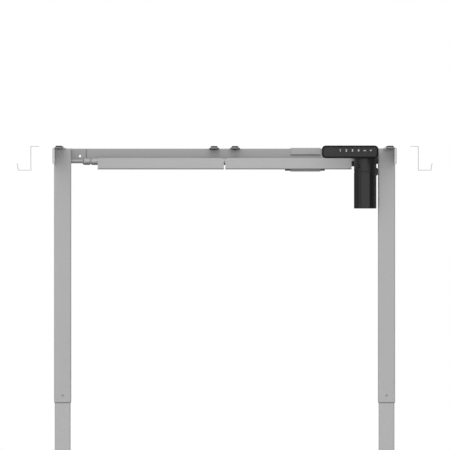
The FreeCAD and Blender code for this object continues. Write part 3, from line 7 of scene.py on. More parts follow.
import bmesh
import bpy
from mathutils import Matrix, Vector


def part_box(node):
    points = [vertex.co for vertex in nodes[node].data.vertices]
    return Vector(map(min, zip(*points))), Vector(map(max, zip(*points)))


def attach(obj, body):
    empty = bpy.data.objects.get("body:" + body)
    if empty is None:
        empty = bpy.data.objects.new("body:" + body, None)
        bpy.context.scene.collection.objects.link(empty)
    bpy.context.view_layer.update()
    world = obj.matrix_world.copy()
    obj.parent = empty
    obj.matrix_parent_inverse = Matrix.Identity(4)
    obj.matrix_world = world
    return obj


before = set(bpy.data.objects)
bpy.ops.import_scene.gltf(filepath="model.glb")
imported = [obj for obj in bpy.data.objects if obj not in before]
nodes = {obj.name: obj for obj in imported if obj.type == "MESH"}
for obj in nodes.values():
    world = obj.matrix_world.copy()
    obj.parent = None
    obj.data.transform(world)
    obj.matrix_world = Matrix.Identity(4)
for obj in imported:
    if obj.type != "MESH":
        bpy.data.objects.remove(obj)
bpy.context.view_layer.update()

MM = 0.001
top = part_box("left_beam_end")[1][2]


# ---------------------------------------------------------------- measures
# Lengths are in metres, but those of names that end in _MM are in millimetres.

# Table pads: how far out in X the inner and the outer ones are, and where they are in Y.
PAD_X = (0.0276, 0.4357)
SIDE_PAD_Y = (-0.234, 0.234)
STRAP_PAD_Y = (-0.005, 0.049)

# Round each pad: radius and height over the beam's top, turned round the pad's axis.
PAD_SKIRT_MM = [(12.05, 1.42), (9.15, 4.06), (8.95, 4.06), (11.8, 1.42)]
PAD_BOWL_MM = [(11.3, -1.15), (11.1, -1.6), (9.2, -2.6), (7.0, -3.0), (4.1, -3.0), (4.1, -1.15)]
# The edging of painted shade round the strap's pads, in the same terms.
SHADE_EDGING_RIM_MM = [(13.05, 0.8), (13.4, 0.6), (13.4, -1.3), (13.05, -1.3)]
# On the ends of the side brackets: across and up, from the pad's axis and the beam's top.
SHADE_EDGING_FLAP_MM = [(-11.8, 0.9), (11.8, 0.9), (11.4, -1.3), (7.4, -2.8), (-7.4, -2.8), (-11.4, -1.3)]
SHADE_EDGING_THICK = 0.00035

# Keys: the numerals' size, thickness and added weight, and how far the arrows stand out.
LEGEND_SIZE = 0.0088
LEGEND_THICK = 0.00004
LEGEND_BOLD = 0.0002
ARROW_PROUD = 0.00008
ARROW_SUNK = 0.0001
ARROW_MM = [(-3.4, -1.3), (-2.1, -1.8), (0, 0), (2.1, -1.8), (3.4, -1.3), (0, 1.8)]

# The hand control's bezel: (inset from the shell's box, corner radius) outside and inside.
RIM_OUTER = (0.0029, 0.0076)
RIM_INNER = (0.0047, 0.0058)
RIM_PROUD = 0.00012
RIM_SUNK = 0.0001

# Control box: the lid's ribs, and how far the cradle's lip ends below the beam's top.
RIB_COUNT = 9
RIB_HALF = 0.0007
RIB_PROUD = 0.0009
RIB_SUNK = 0.0001
RIB_LENGTH_SHARE = 0.62
RIB_SPREAD = (0.2, 0.8)
CRADLE_LIP = 0.0164
# The lip's dark edging, which paints the line of shade under it: how far it stands out, reaches
# back, hangs down and rises, and its clearance.
SHADE_TRIM_PROUD = 0.0003
SHADE_TRIM_BACK = 0.0005
SHADE_TRIM_DROP = 0.0006
SHADE_TRIM_RISE = (0.001, 0.0012)
SHADE_TRIM_GAP = 0.00005
SHADE_TRIM_SHORTER = 0.001

# Motor: the band in its seam (depths below the can's face, half height), the staked marks under
# the seam (first angle in degrees) and the plug with its pin in the gearbox over it.
BAND_DEPTHS = (0.0012, 0.0005)
BAND_HALF = 0.0010
STAKE_COUNT = 6
STAKE_START = 20
STAKE_DROP = 0.006
STAKE_SUNK = 0.0004
PLUG_TURN = math.radians(-34)
PLUG_DROP = 0.047
PLUG_SUNK = 0.0008
PIN_PROUD = 0.0005
# Half sizes across and up, and how far each stands out.
STAKE_SIZE = (0.0032, 0.0012, 0.0008)
PLUG_SIZE = (0.0026, 0.0055, 0.0013)
PIN_SIZE = (0.001, 0.001, 0.0011)

# Beam: the rail's section, the dark liner that paints the shade in its seams (inset, wall and
# reach along X from the rail's end) and the beads at its ends (radius, depth in the column, cut
# corners in Y and Z).
RAIL_HEIGHT = 0.030
RAIL_DEPTH = 0.024
SHADE_LINER_INSET = 0.0011
SHADE_LINER_WALL = 0.0007
SHADE_LINER_REACH = (0.00025, 0.00135)
RAIL_BEAD = 0.0011
RAIL_BEAD_SUNK = 0.0004
RAIL_BEAD_CORNER = (0.004, 0.003)

# Feet: the inner tube's section, the foot plate, the bead round the tube, and the levelling
# studs with their threads (steps per turn, radius of the bar, depth in the stud, free ends).
TUBE_SIZE = (0.0414, 0.0664)
TUBE_CORNER = 0.0041
PLATE_THICK = 0.004
FOOT_BEAD = 0.0017
FOOT_BEAD_RISE = 0.0006
GLIDE_HEIGHT = 0.007
STUD_RADIUS = 0.004
THREAD_PITCH = 0.00125
THREAD_STEPS = 24
THREAD_BAR = 0.00032
THREAD_SUNK = 0.0002
THREAD_ENDS = (0.001, 0.0015)

# The studio's level against azimuth: 0 is behind the camera, + is to the object's right.
PANELS = [
    (-180, 0.55),
    (-120, 0.5),
    (-78, 0.42),
    (-70, 0.8),
    (-44, 0.8),
    (-34, 1.18),
    (42, 1.18),
    (50, 0.2),
    (110, 0.3),
    (180, 0.55),
]
# How much the studio's level changes between these two heights (sines of the elevation).
SKY = (1.0, 1.2)
SKY_HEIGHTS = (-0.2, 0.9)
# The dark band behind: where it starts and is full in azimuth (radians), where it is full and
# ends in height (the sine of the elevation), and the share of light that is left in it.
DARK_AZIMUTH = (1.9, 2.3)
DARK_HEIGHT = (0.16, 0.3)
DARK_LIGHT = 0.1

FLOOR_RADIUS = 7.0
FLOOR_DROP = 0.0005

# A long lens from far off, so that the picture shows next to no perspective.
LENS_MM = 1650
SENSOR_MM = 36
CAMERA_X = 0.0011
CAMERA_Y = -54.45
CAMERA_DROP = 0.2017
CLIP = (1.0, 200)


# ---------------------------------------------------------------- materials


def grey(level):
    """A grey given as an sRGB level from 0 to 255, as a linear colour."""
    share = level / 255
    linear = share / 12.92 if share <= 0.04045 else ((share + 0.055) / 1.055) ** 2.4
    return (linear, linear, linear, 1.0)


def tint(color, factor):
    """A colour times a factor for each channel, at most 1."""
    return tuple(min(1.0, c * f) for c, f in zip(color[:3], factor)) + (1.0,)


def new_node(tree, kind, **inputs):
    """A shader node with these values on its inputs, an underscore standing for a space."""
    node = tree.nodes.new(kind)
    for key, value in inputs.items():
        node.inputs[key.replace("_", " ")].default_value = value
    return node


def math_node(tree, kind, *values):
    """A node for one sum. Its values are numbers or the outputs of other nodes."""
    node = tree.nodes.new("ShaderNodeMath")
    node.operation = kind
    for i, value in enumerate(values):
        if isinstance(value, (int, float)):
            node.inputs[i].default_value = value
        else:
            tree.links.new(value, node.inputs[i])
    return node.outputs[0]


def ranged(tree, value, low, high, to_low=0.0, to_high=1.0):
    """Maps low to to_low and high to to_high, and keeps to these outside that range."""
    node = new_node(
        tree, "ShaderNodeMapRange", From_Min=low, From_Max=high, To_Min=to_low, To_Max=to_high
    )
    tree.links.new(value, node.inputs["Value"])
    return node.outputs["Result"]


def split_vector(tree, vector):
    """The X, Y and Z outputs of a vector."""
    node = tree.nodes.new("ShaderNodeSeparateXYZ")
    tree.links.new(vector, node.inputs["Vector"])
    return node.outputs


def mixed(tree, mask, first, second, blend="MIX"):
    """A node that takes a colour towards a second one where the mask says so."""
    node = tree.nodes.new("ShaderNodeMixRGB")
    node.blend_type = blend
    for value, name in ((mask, "Fac"), (first, "Color1"), (second, "Color2")):
        if isinstance(value, (float, tuple)):
            node.inputs[name].default_value = value
        else:
            tree.links.new(value, node.inputs[name])
    return node.outputs["Color"]


finishes = {}


def surface(
    name,
    color,
    rough=0.5,
    rough_spread=0.06,
    metallic=0.0,
    tone=0.03,
    tone_scale=9.0,
    grain=1500.0,
    depth=0.02,
    coat=0.0,
    specular=0.5,
    edge=0.0,
    stretch=(1.0, 1.0, 1.0),
    round_edges=0.0004,
    turned=None,
    under=None,
    beyond=None,
):
    """A procedural finish: cloudy tone, fine grain in the bump, uneven gloss, worn edges, and
    painted light and shade.

    tone and rough_spread say how much the colour and the gloss vary. depth is the bump's, in
    millimetres. edge is how much lighter the colour is at worn edges; where it is below zero, it
    darkens the edges as a painted line of shade. turned is a factor for the colour of faces that
    don't face the front or the back, and under one for those that face down: both are painted
    shade. beyond is (distance, factor) for the colour of what lies further than that from the
    middle along X, and paints a highlight there.
    """
    material = bpy.data.materials.new("finish_" + name)
    finishes[name] = material
    material.use_nodes = True
    tree = material.node_tree
    tree.nodes.clear()
    output = tree.nodes.new("ShaderNodeOutputMaterial")
    shader = new_node(
        tree, "ShaderNodeBsdfPrincipled", Metallic=metallic, Coat_Weight=coat,
        Coat_Roughness=0.25, Specular_IOR_Level=specular,
    )
    tree.links.new(shader.outputs["BSDF"], output.inputs["Surface"])

    place = tree.nodes.new("ShaderNodeTexCoord")
    mapping = new_node(tree, "ShaderNodeMapping", Scale=stretch)
    tree.links.new(place.outputs["Object"], mapping.inputs["Vector"])
    cloud = new_node(tree, "ShaderNodeTexNoise", Scale=tone_scale, Detail=5.0, Roughness=0.6)
    speck = new_node(tree, "ShaderNodeTexNoise", Scale=grain, Detail=2.0, Roughness=0.5)
    for noise in (cloud, speck):
        tree.links.new(mapping.outputs["Vector"], noise.inputs["Vector"])

    # the colour: clouds, then specks
    ramp = tree.nodes.new("ShaderNodeValToRGB")
    for stop, position, factor in zip(ramp.color_ramp.elements, (0.3, 0.7), (1 - tone, 1 + tone)):
        stop.position = position
        stop.color = tint(color, (factor,) * 3)
    tree.links.new(cloud.outputs["Fac"], ramp.inputs["Fac"])
    grey_speck = tree.nodes.new("ShaderNodeRGBToBW")
    tree.links.new(speck.outputs["Color"], grey_speck.inputs["Color"])
    painted = mixed(
        tree, tone * 2, ramp.outputs["Color"], grey_speck.outputs["Val"], blend="OVERLAY"
    )

    # edges, where the rounded normal leaves the flat one: a positive edge lightens them as wear, a
    # negative one darkens them as painted shade
    rounded = new_node(tree, "ShaderNodeBevel", Radius=round_edges)
    rounded.samples = 4
    if edge:
        flat = tree.nodes.new("ShaderNodeNewGeometry")
        match = tree.nodes.new("ShaderNodeVectorMath")
        match.operation = "DOT_PRODUCT"
        tree.links.new(rounded.outputs["Normal"], match.inputs[0])
        tree.links.new(flat.outputs["Normal"], match.inputs[1])
        mask = ranged(tree, match.outputs["Value"], 0.995, 0.85)
        painted = mixed(tree, mask, painted, tint(color, (1 + edge,) * 3))

    # painted shade on faces that look sideways and down, and a painted highlight far out along X
    masks = []
    if turned is not None:
        to_side = math_node(tree, "ABSOLUTE", split_vector(tree, place.outputs["Normal"])["Y"])
        masks.append((ranged(tree, to_side, 0.97, 0.85), turned))
    if under is not None:
        upward = split_vector(tree, place.outputs["Normal"])["Z"]
        masks.append((ranged(tree, upward, -0.3, -0.7), under))
    if beyond is not None:
        out = math_node(tree, "ABSOLUTE", split_vector(tree, place.outputs["Object"])["X"])
        masks.append((math_node(tree, "GREATER_THAN", out, beyond[0]), beyond[1]))
    for mask, factor in masks:
        painted = mixed(tree, mask, painted, (factor, factor, factor, 1.0), blend="MULTIPLY")
    tree.links.new(painted, shader.inputs["Base Color"])

    gloss = (max(0.02, rough - rough_spread), min(1.0, rough + rough_spread))
    tree.links.new(
        ranged(tree, cloud.outputs["Fac"], 0.0, 1.0, *gloss), shader.inputs["Roughness"]
    )

    bump = new_node(tree, "ShaderNodeBump", Strength=0.6, Distance=depth * MM)
    tree.links.new(speck.outputs["Fac"], bump.inputs["Height"])
    tree.links.new(rounded.outputs["Normal"], bump.inputs["Normal"])
    tree.links.new(bump.outputs["Normal"], shader.inputs["Normal"])
    return material


# The leg, inner, beam, bracket, tray, cradle and hook paints stand for one grey paint: their
# levels differ as painted light and shade, set for how much light each part gets.
surface("leg_paint", grey(187), rough=0.42, tone=0.015, grain=1400, depth=0.03, edge=0.06)
surface("inner_paint", grey(190), rough=0.36, tone=0.015, grain=1400, depth=0.025, edge=0.05)
surface("beam_paint", grey(177), rough=0.45, tone=0.015, grain=1400, depth=0.03, edge=0.08)
# Past 0.447 m from the middle the bracket's outer flange is 1.15 times lighter: a painted
# highlight.
surface(
    "bracket_paint", grey(202), rough=0.4, tone=0.015, grain=1400, depth=0.03, edge=0.05,
    beyond=(0.447, 1.15),
)
# The tray's faces that look down are darkened to 0.35 of their colour: painted shade.
surface(
    "tray_paint", grey(188), rough=0.45, tone=0.015, grain=1500, depth=0.03, edge=0.06,
    under=0.35,
)
# The cradle's edges are darkened to a painted line of shade, and its faces that look down to 0.3
# of their colour, as painted shade.
surface(
    "cradle_paint", grey(184), rough=0.45, tone=0.015, grain=1500, depth=0.03, edge=-0.7,
    round_edges=0.0009, under=0.3,
)
# The drive's faces that look down are darkened to 0.35 of their colour: painted shade.
surface(
    "drive_paint", grey(176), rough=0.32, metallic=0.45, tone=0.02, grain=1500, depth=0.02,
    edge=0.05, under=0.35,
)
surface("hook_paint", grey(225), rough=0.4, tone=0.015, grain=1500, depth=0.03, edge=0.04)
surface("weld", grey(172), rough=0.4, tone=0.03, grain=700, depth=0.12)
surface(
    "zinc", grey(150), rough=0.3, rough_spread=0.1, metallic=0.9, tone=0.06, tone_scale=60,
    grain=2500, depth=0.01, edge=0.15, stretch=(0.25, 1.0, 1.0),
)
surface(
    "steel", grey(140), rough=0.28, rough_spread=0.1, metallic=1.0, tone=0.05, tone_scale=40,
    grain=3000, depth=0.008, edge=0.1, stretch=(1.0, 1.0, 0.2),
)
surface("alloy", grey(165), rough=0.5, metallic=0.8, tone=0.06, grain=900, depth=0.06, edge=0.1)
surface(
    "motor_paint", grey(10), rough=0.16, rough_spread=0.03, tone=0.04, grain=1800, depth=0.004,
    edge=0.5,
)
surface(
    "gearbox_plastic", grey(14), rough=0.24, tone=0.05, grain=2200, depth=0.012, edge=0.4
)
surface(
    "black_plastic", grey(36), rough=0.5, specular=0.35, tone=0.05, grain=2200, depth=0.05,
    edge=0.35,
)
# The hand control's faces that don't look to the front or the back are darkened to 0.2 of their
# colour: painted shade.
surface(
    "handset_plastic", grey(64), rough=0.55, tone=0.04, grain=2600, depth=0.05, specular=0.1,
    turned=0.2,
)
surface("rim_black", grey(34), rough=0.6, tone=0.04, grain=2600, depth=0.05, specular=0.1)
surface("key_plastic", grey(64), rough=0.55, tone=0.04, grain=2600, depth=0.05, specular=0.12)
surface(
    "lens_black", grey(61), rough=0.3, rough_spread=0.03, tone=0.02, depth=0.003, specular=0.14
)
surface("print_white", grey(236), rough=0.6, tone=0.03, grain=3000, depth=0.01)
# A dark grey for the liners in the rail's seams and the edging on the cradle's lip: painted shade.
surface("shade_liner_grey", grey(112), rough=0.6, tone=0.03, grain=2200, depth=0.04, specular=0.2)
# The two darker rubbers, on the bowls under the pads and on the edging round them, paint the shade
# there.
for part, level in (("shade_bowl", 62), ("shade_edging", 96), ("skirt", 140)):
    surface(
        f"{part}_rubber", grey(level), rough=0.7, tone=0.05, grain=2400, depth=0.06, specular=0.2
    )
surface("grey_plastic", grey(140), rough=0.5, tone=0.03, grain=2200, depth=0.04, edge=0.1)
surface(
    "nylon", tint(grey(215), (1.0, 0.985, 0.93)), rough=0.45, tone=0.03, grain=1200, depth=0.03
)
surface(
    "rubber", grey(18), rough=0.75, tone=0.08, grain=2600, depth=0.08, specular=0.12, edge=0.2
)
surface("magnet", grey(60), rough=0.6, tone=0.1, grain=1200, depth=0.1)
surface(
    "board_green", (0.012, 0.10, 0.045, 1.0), rough=0.3, tone=0.15, tone_scale=300, grain=1600,
    depth=0.05, coat=0.4,
)

FINISHES = {
    "leg_paint": ["left_outer_tube", "right_outer_tube", "left_foot", "right_foot"],
    "inner_paint": ["left_lower_tube", "right_lower_tube"],
    "beam_paint": ["main_rail", "left_beam_end", "right_beam_end"],
    "bracket_paint": ["left_side_bracket", "right_side_bracket"],
    "tray_paint": ["left_cable_tray", "right_cable_tray"],
    "cradle_paint": ["control_box_cradle"],
    "hook_paint": ["bag_hooks"],
    "zinc": ["left_foot_bolts", "right_foot_bolts", "frame_bolts", "tray_screws", "hex_bars"],
    "drive_paint": ["drive_sleeve", "clamp_collar", "small_screws"],
    "steel": [
        "spindle_bearings", "left_spindle", "right_spindle", "left_bevel_gear",
        "right_bevel_gear", "bevel_pinions", "motor_shaft",
    ],
    "alloy": ["head_housings"],
    "motor_paint": ["motor_can", "handset_bracket"],
    "gearbox_plastic": ["motor_end_cap", "gearbox_housing", "gearbox_cover"],
    "black_plastic": [
        "control_box_base", "control_box_cover", "left_front_leveller", "left_rear_leveller",
        "right_front_leveller", "right_rear_leveller",
    ],
    "handset_plastic": ["handset_front", "handset_back"],
    "key_plastic": ["key_1", "key_2", "key_3", "key_4", "key_up", "key_down"],
    "lens_black": ["handset_lens"],
    "grey_plastic": ["lower_bushings"],
    "nylon": ["left_nut_block", "right_nut_block", "worm_wheel"],
    "rubber": ["table_pads"],
    "magnet": ["motor_magnets", "armature"],
    "board_green": ["control_board", "handset_board"],
}

for finish, names in FINISHES.items():
    for name in names:
        for slot in nodes[name].material_slots:
            slot.material = finishes[finish]


# ---------------------------------------------------------------- pieces


def add_object(name, data):
    """An object with this data, in the scene."""
    thing = bpy.data.objects.new(name, data)
    bpy.context.collection.objects.link(thing)
    return thing


def facing(angle):
    """The level direction at this angle from X."""
    return Vector((math.cos(angle), math.sin(angle), 0))


def middle(low, high):
    """Halfway between two values."""
    return (low + high) / 2


def in_metres(profile):
    """A profile or outline that is given in millimetres."""
    return [(first * MM, second * MM) for first, second in profile]


def solid(name, rig, finish, body):
    """Turns a bmesh into a piece that rides a body."""
    mesh = bpy.data.meshes.new(name)
    bmesh.ops.recalc_face_normals(rig, faces=rig.faces)
    rig.to_mesh(mesh)
    rig.free()
    mesh.materials.append(finishes[finish])
    piece = add_object(name, mesh)
    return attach(piece, body)


def lathe(rig, profile, centre, sides=40):
    """A ring with this closed (radius, height) profile, round an upright axis."""
    rings = []
    for k in range(sides):
        angle = 2 * math.pi * k / sides
        way = facing(angle)
        rings.append([rig.verts.new(centre + way * r + Vector((0, 0, z))) for r, z in profile])
    for k in range(sides):
        first, second = rings[k], rings[(k + 1) % sides]
        for i in range(len(profile)):
            j = (i + 1) % len(profile)
            rig.faces.new((first[i], second[i], second[j], first[j]))


def swept(rig, points, radii, sides=8, closed=False):
    """A round bar along points, each with its own radius."""
    count = len(points)
    rings = []
    for i, point in enumerate(points):
        before = points[i - 1] if (closed or i) else points[0]
        after = points[(i + 1) % count] if (closed or i < count - 1) else points[-1]
        along = (after - before).normalized()
        if abs(along.z) > 0.999:
            side = along.orthogonal().normalized()
        else:
            side = along.cross(Vector((0, 0, 1))).normalized()
        rise = along.cross(side)
        ring = []
        for k in range(sides):
            angle = 2 * math.pi * k / sides
            offset = side * math.cos(angle) + rise * math.sin(angle)
            ring.append(rig.verts.new(point + offset * radii[i]))
        rings.append(ring)
    pairs = list(zip(rings, rings[1:])) + ([(rings[-1], rings[0])] if closed else [])
    for first, second in pairs:
        for k in range(sides):
            n = (k + 1) % sides
            rig.faces.new((first[k], first[n], second[n], second[k]))
    if not closed:
        rig.faces.new(rings[0][::-1])
        rig.faces.new(rings[-1])


def weld_bead(name, points, radius, body, closed=False, step=0.0011):
    """A weld bead: a bar whose radius ripples as the torch moved along."""
    path, widths = [], []
    ends = points + points[:1] if closed else points
    for start, stop in zip(ends, ends[1:]):
        count = max(1, round((stop - start).length / step))
        for i in range(count):
            path.append(start.lerp(stop, i / count))
    if not closed:
        path.append(points[-1])
    for i in range(len(path)):
        ripple = 0.5 + 0.5 * math.sin(i * 2 * math.pi / 3)
        widths.append(radius * (0.84 + 0.16 * ripple + 0.05 * math.sin(i * 0.37)))
    rig = bmesh.new()
    swept(rig, path, widths, sides=8, closed=closed)
    piece = solid(name, rig, "weld", body)
    for face in piece.data.polygons:
        face.use_smooth = True
    return piece


def plate(rig, outline, low, high, axis="y"):
    """A flat prism with this outline, between two places along X or Y."""
    def spot(pair, depth):
        if axis == "y":
            return Vector((pair[0], depth, pair[1]))
        return Vector((depth, pair[0], pair[1]))

    near = [rig.verts.new(spot(pair, low)) for pair in outline]
    far = [rig.verts.new(spot(pair, high)) for pair in outline]
    rig.faces.new(near)
    rig.faces.new(far[::-1])
    for i in range(len(outline)):
        j = (i + 1) % len(outline)
        rig.faces.new((near[i], near[j], far[j], far[i]))


def stadium(rig, centre, way, wide, tall, proud):
    """A rounded pad on an upright face: half sizes across and up, and how far it stands out."""
    across, up = Vector((-way.y, way.x, 0)), Vector((0, 0, 1))
    near, far = [], []
    steps, bulge, taper = 20, 0.6, 0.82
    for k in range(steps):
        angle = 2 * math.pi * k / steps
        spread, rise = (
            math.copysign(abs(share) ** bulge, share)
            for share in (math.cos(angle), math.sin(angle))
        )
        flat = across * wide * spread + up * tall * rise
        near.append(rig.verts.new(centre + flat))
        far.append(rig.verts.new(centre + flat * taper + way * proud))
    rig.faces.new(near[::-1])
    rig.faces.new(far)
    for k in range(steps):
        n = (k + 1) % steps
        rig.faces.new((near[k], near[n], far[n], far[k]))


def rounded_outline(low, high, inset, radius):
    """The outline of a rounded rectangle in X and Z, inset from a box."""
    left, right = low.x + inset + radius, high.x - inset - radius
    base, roof = low.z + inset + radius, high.z - inset - radius
    points, steps = [], 8
    for x, z, start in ((right, roof, 0), (left, roof, 90), (left, base, 180), (right, base, 270)):
        for step in range(steps + 1):
            angle = math.radians(start + 90 * step / steps)
            points.append((x + radius * math.cos(angle), z + radius * math.sin(angle)))
    return points


def lay_text(name, text, place, finish, body):
    """A printed character that stands a hair proud of a surface facing the front."""
    curve = bpy.data.curves.new(name, "FONT")
    curve.body = text
    curve.size = LEGEND_SIZE
    curve.align_x = "CENTER"
    curve.align_y = "CENTER"
    curve.extrude = LEGEND_THICK
    curve.offset = LEGEND_BOLD
    curve.materials.append(finishes[finish])
    piece = add_object(name, curve)
    piece.rotation_euler = (math.pi / 2, 0, 0)
    piece.location = place
    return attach(piece, body)


def key_legends():
    """The numerals and arrows printed on the six keys."""
    for number in "1234":
        low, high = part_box(f"key_{number}")
        place = (middle(low.x, high.x), low.y - LEGEND_THICK, middle(low.z, high.z))
        lay_text(f"legend_{number}", number, place, "print_white", f"key_{number}_body")
    for way, turn in (("up", 1), ("down", -1)):
        low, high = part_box(f"key_{way}")
        x, z = middle(low.x, high.x), middle(low.z, high.z)
        outline = [(x + across * MM, z + rise * MM * turn) for across, rise in ARROW_MM]
        rig = bmesh.new()
        plate(rig, outline, low.y - ARROW_PROUD, low.y + ARROW_SUNK)
        solid(f"legend_{way}", rig, "print_white", f"key_{way}_body")


def pad_seats():
    """Per table pad: a skirt over its metal cup, and below the sheet a bowl of painted shade."""
    spots = []
    for x in (-PAD_X[1], -PAD_X[0], PAD_X[0], PAD_X[1]):
        ends = SIDE_PAD_Y if abs(x) == PAD_X[1] else STRAP_PAD_Y
        spots += [Vector((x, y, top)) for y in ends]
    for i, spot in enumerate(spots):
        for part, profile, finish in (
            ("skirt", PAD_SKIRT_MM, "skirt_rubber"), ("bowl", PAD_BOWL_MM, "shade_bowl_rubber")
        ):
            rig = bmesh.new()
            lathe(rig, in_metres(profile), spot)
            solid(f"pad_{part}_{i + 1}", rig, finish, "upper_frame")


def pad_shade_edgings():
    """Edging of painted shade on the sheet's rim: round the strap's pads, across the brackets."""
    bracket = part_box("left_side_bracket")
    for side, sign in (("left", -1), ("right", 1)):
        for i, y in enumerate(STRAP_PAD_Y):
            rig = bmesh.new()
            lathe(rig, in_metres(SHADE_EDGING_RIM_MM), Vector((sign * PAD_X[0], y, top)), sides=56)
            solid(f"{side}_strap_shade_edging_{i + 1}", rig, "shade_edging_rubber", "upper_frame")
        for i, y in enumerate((bracket[0].y, bracket[1].y)):
            out = y + math.copysign(SHADE_EDGING_THICK, y)
            outline = [(sign * PAD_X[1] + x, top + z) for x, z in in_metres(SHADE_EDGING_FLAP_MM)]
            rig = bmesh.new()
            plate(rig, outline, min(y, out), max(y, out))
            solid(f"{side}_bracket_shade_edging_{i + 1}", rig, "shade_edging_rubber", "upper_frame")


def cover_ribs():
    """The cooling ribs along the lid of the control box."""
    low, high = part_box("control_box_cover")
    length = (high.x - low.x) * RIB_LENGTH_SHARE
    start = middle(low.x, high.x) - length / 2
    first, last = RIB_SPREAD
    base, roof = high.z - RIB_SUNK, high.z + RIB_PROUD
    rig = bmesh.new()
    for i in range(RIB_COUNT):
        y = low.y + (high.y - low.y) * (first + (last - first) * i / (RIB_COUNT - 1))
        outline = [
            (y - RIB_HALF, base), (y - RIB_HALF * 0.5, roof),
            (y + RIB_HALF * 0.5, roof), (y + RIB_HALF, base),
        ]
        plate(rig, outline, start, start + length, axis="x")
    solid("control_box_ribs", rig, "black_plastic", "upper_frame")


def cradle_shade_trim():
    """Dark edging along the lip of the cradle that hooks over the rail: painted shade."""
    low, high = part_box("control_box_cradle")
    foot = top - CRADLE_LIP
    face, back = low.y - SHADE_TRIM_PROUD, low.y + SHADE_TRIM_BACK
    inner, roof = low.y - SHADE_TRIM_GAP, foot - SHADE_TRIM_GAP
    outline = [
        (face, foot - SHADE_TRIM_DROP), (back, foot - SHADE_TRIM_DROP), (back, roof),
        (inner, roof), (inner, foot + SHADE_TRIM_RISE[1]), (face, foot + SHADE_TRIM_RISE[0]),
    ]
    rig = bmesh.new()
    plate(rig, outline, low.x + SHADE_TRIM_SHORTER, high.x - SHADE_TRIM_SHORTER, axis="x")
    solid("cradle_lip_shade_trim", rig, "shade_liner_grey", "upper_frame")


def motor_details():
    """The dark band in the motor's seam, its staked marks and the plug on the gearbox."""
    low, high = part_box("motor_can")
    axis = Vector((middle(low.x, high.x), middle(low.y, high.y), 0))
    radius = (high.x - low.x) / 2
    seam = high.z
    inner, outer = (radius - depth for depth in BAND_DEPTHS)
    band = [(inner, -BAND_HALF), (outer, -BAND_HALF), (outer, BAND_HALF), (inner, BAND_HALF)]
    rig = bmesh.new()
    lathe(rig, band, axis + Vector((0, 0, seam)), sides=96)
    solid("motor_seam_band", rig, "black_plastic", "upper_frame")

    rig = bmesh.new()
    for k in range(STAKE_COUNT):
        way = facing(math.radians(STAKE_START + 360 / STAKE_COUNT * k))
        centre = axis + way * (radius - STAKE_SUNK) + Vector((0, 0, seam - STAKE_DROP))
        stadium(rig, centre, way, *STAKE_SIZE)
    solid("motor_stakes", rig, "motor_paint", "upper_frame")

    way = facing(PLUG_TURN - math.pi / 2)
    centre = axis + way * (radius - PLUG_SUNK) + Vector((0, 0, top - PLUG_DROP))
    rig = bmesh.new()
    stadium(rig, centre, way, *PLUG_SIZE)
    solid("gearbox_plug", rig, "rubber", "upper_frame")
    rig = bmesh.new()
    stadium(rig, centre + way * PIN_PROUD, way, *PIN_SIZE)
    solid("gearbox_plug_pin", rig, "steel", "upper_frame")


def handset_rim():
    """The dark bezel that frames the face of the hand control, just proud of it."""
    low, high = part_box("handset_front")
    outer = rounded_outline(low, high, *RIM_OUTER)
    inner = rounded_outline(low, high, *RIM_INNER)
    front, back = low.y - RIM_PROUD, low.y + RIM_SUNK
    rig = bmesh.new()
    loops = [
        [rig.verts.new(Vector((x, y, z))) for x, z in outline]
        for outline, y in ((outer, back), (outer, front), (inner, front), (inner, back))
    ]
    count = len(outer)
    for k in range(4):
        first, second = loops[k], loops[(k + 1) % 4]
        for i in range(count):
            j = (i + 1) % count
            rig.faces.new((first[i], first[j], second[j], second[i]))
    solid("handset_rim", rig, "rim_black", "upper_frame")


def rail_welds():
    """The beads that join each beam end to its column."""
    for side, sign in (("left", -1), ("right", 1)):
        low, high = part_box(f"{side}_beam_end")
        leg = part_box(f"{side}_outer_tube")
        x = (leg[1].x if sign < 0 else leg[0].x) - sign * RAIL_BEAD_SUNK
        front, rear = low.y, low.y + RAIL_DEPTH
        roof, base = high.z, high.z - RAIL_HEIGHT
        along, up = RAIL_BEAD_CORNER
        corners = [
            (front + along, roof), (front, roof - up), (front, base + up),
            (front + along, base), (rear - along, base), (rear, base + up),
            (rear, roof - up),
        ]
        points = [Vector((x, y, z)) for y, z in corners]
        weld_bead(f"{side}_beam_weld", points, RAIL_BEAD, "upper_frame")


def rail_shade_liners():
    """A dark liner of painted shade where the middle rail meets the socket of each beam end."""
    low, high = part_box("main_rail")
    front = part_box("left_beam_end")[0].y
    ahead, behind = front + SHADE_LINER_INSET, front + RAIL_DEPTH - SHADE_LINER_INSET
    roof, base = top - SHADE_LINER_INSET, top - RAIL_HEIGHT + SHADE_LINER_INSET
    walls = [
        (ahead, ahead + SHADE_LINER_WALL, base, roof),
        (behind - SHADE_LINER_WALL, behind, base, roof),
        (ahead, behind, roof - SHADE_LINER_WALL, roof),
        (ahead, behind, base, base + SHADE_LINER_WALL),
    ]
    for side, sign, x in (("left", -1, low.x), ("right", 1, high.x)):
        rig = bmesh.new()
        for y0, y1, z0, z1 in walls:
            outline = [(y0, z0), (y1, z0), (y1, z1), (y0, z1)]
            near, far = (x + sign * reach for reach in SHADE_LINER_REACH)
            plate(rig, outline, near, far, axis="x")
        solid(f"{side}_rail_shade_liner", rig, "shade_liner_grey", "upper_frame")


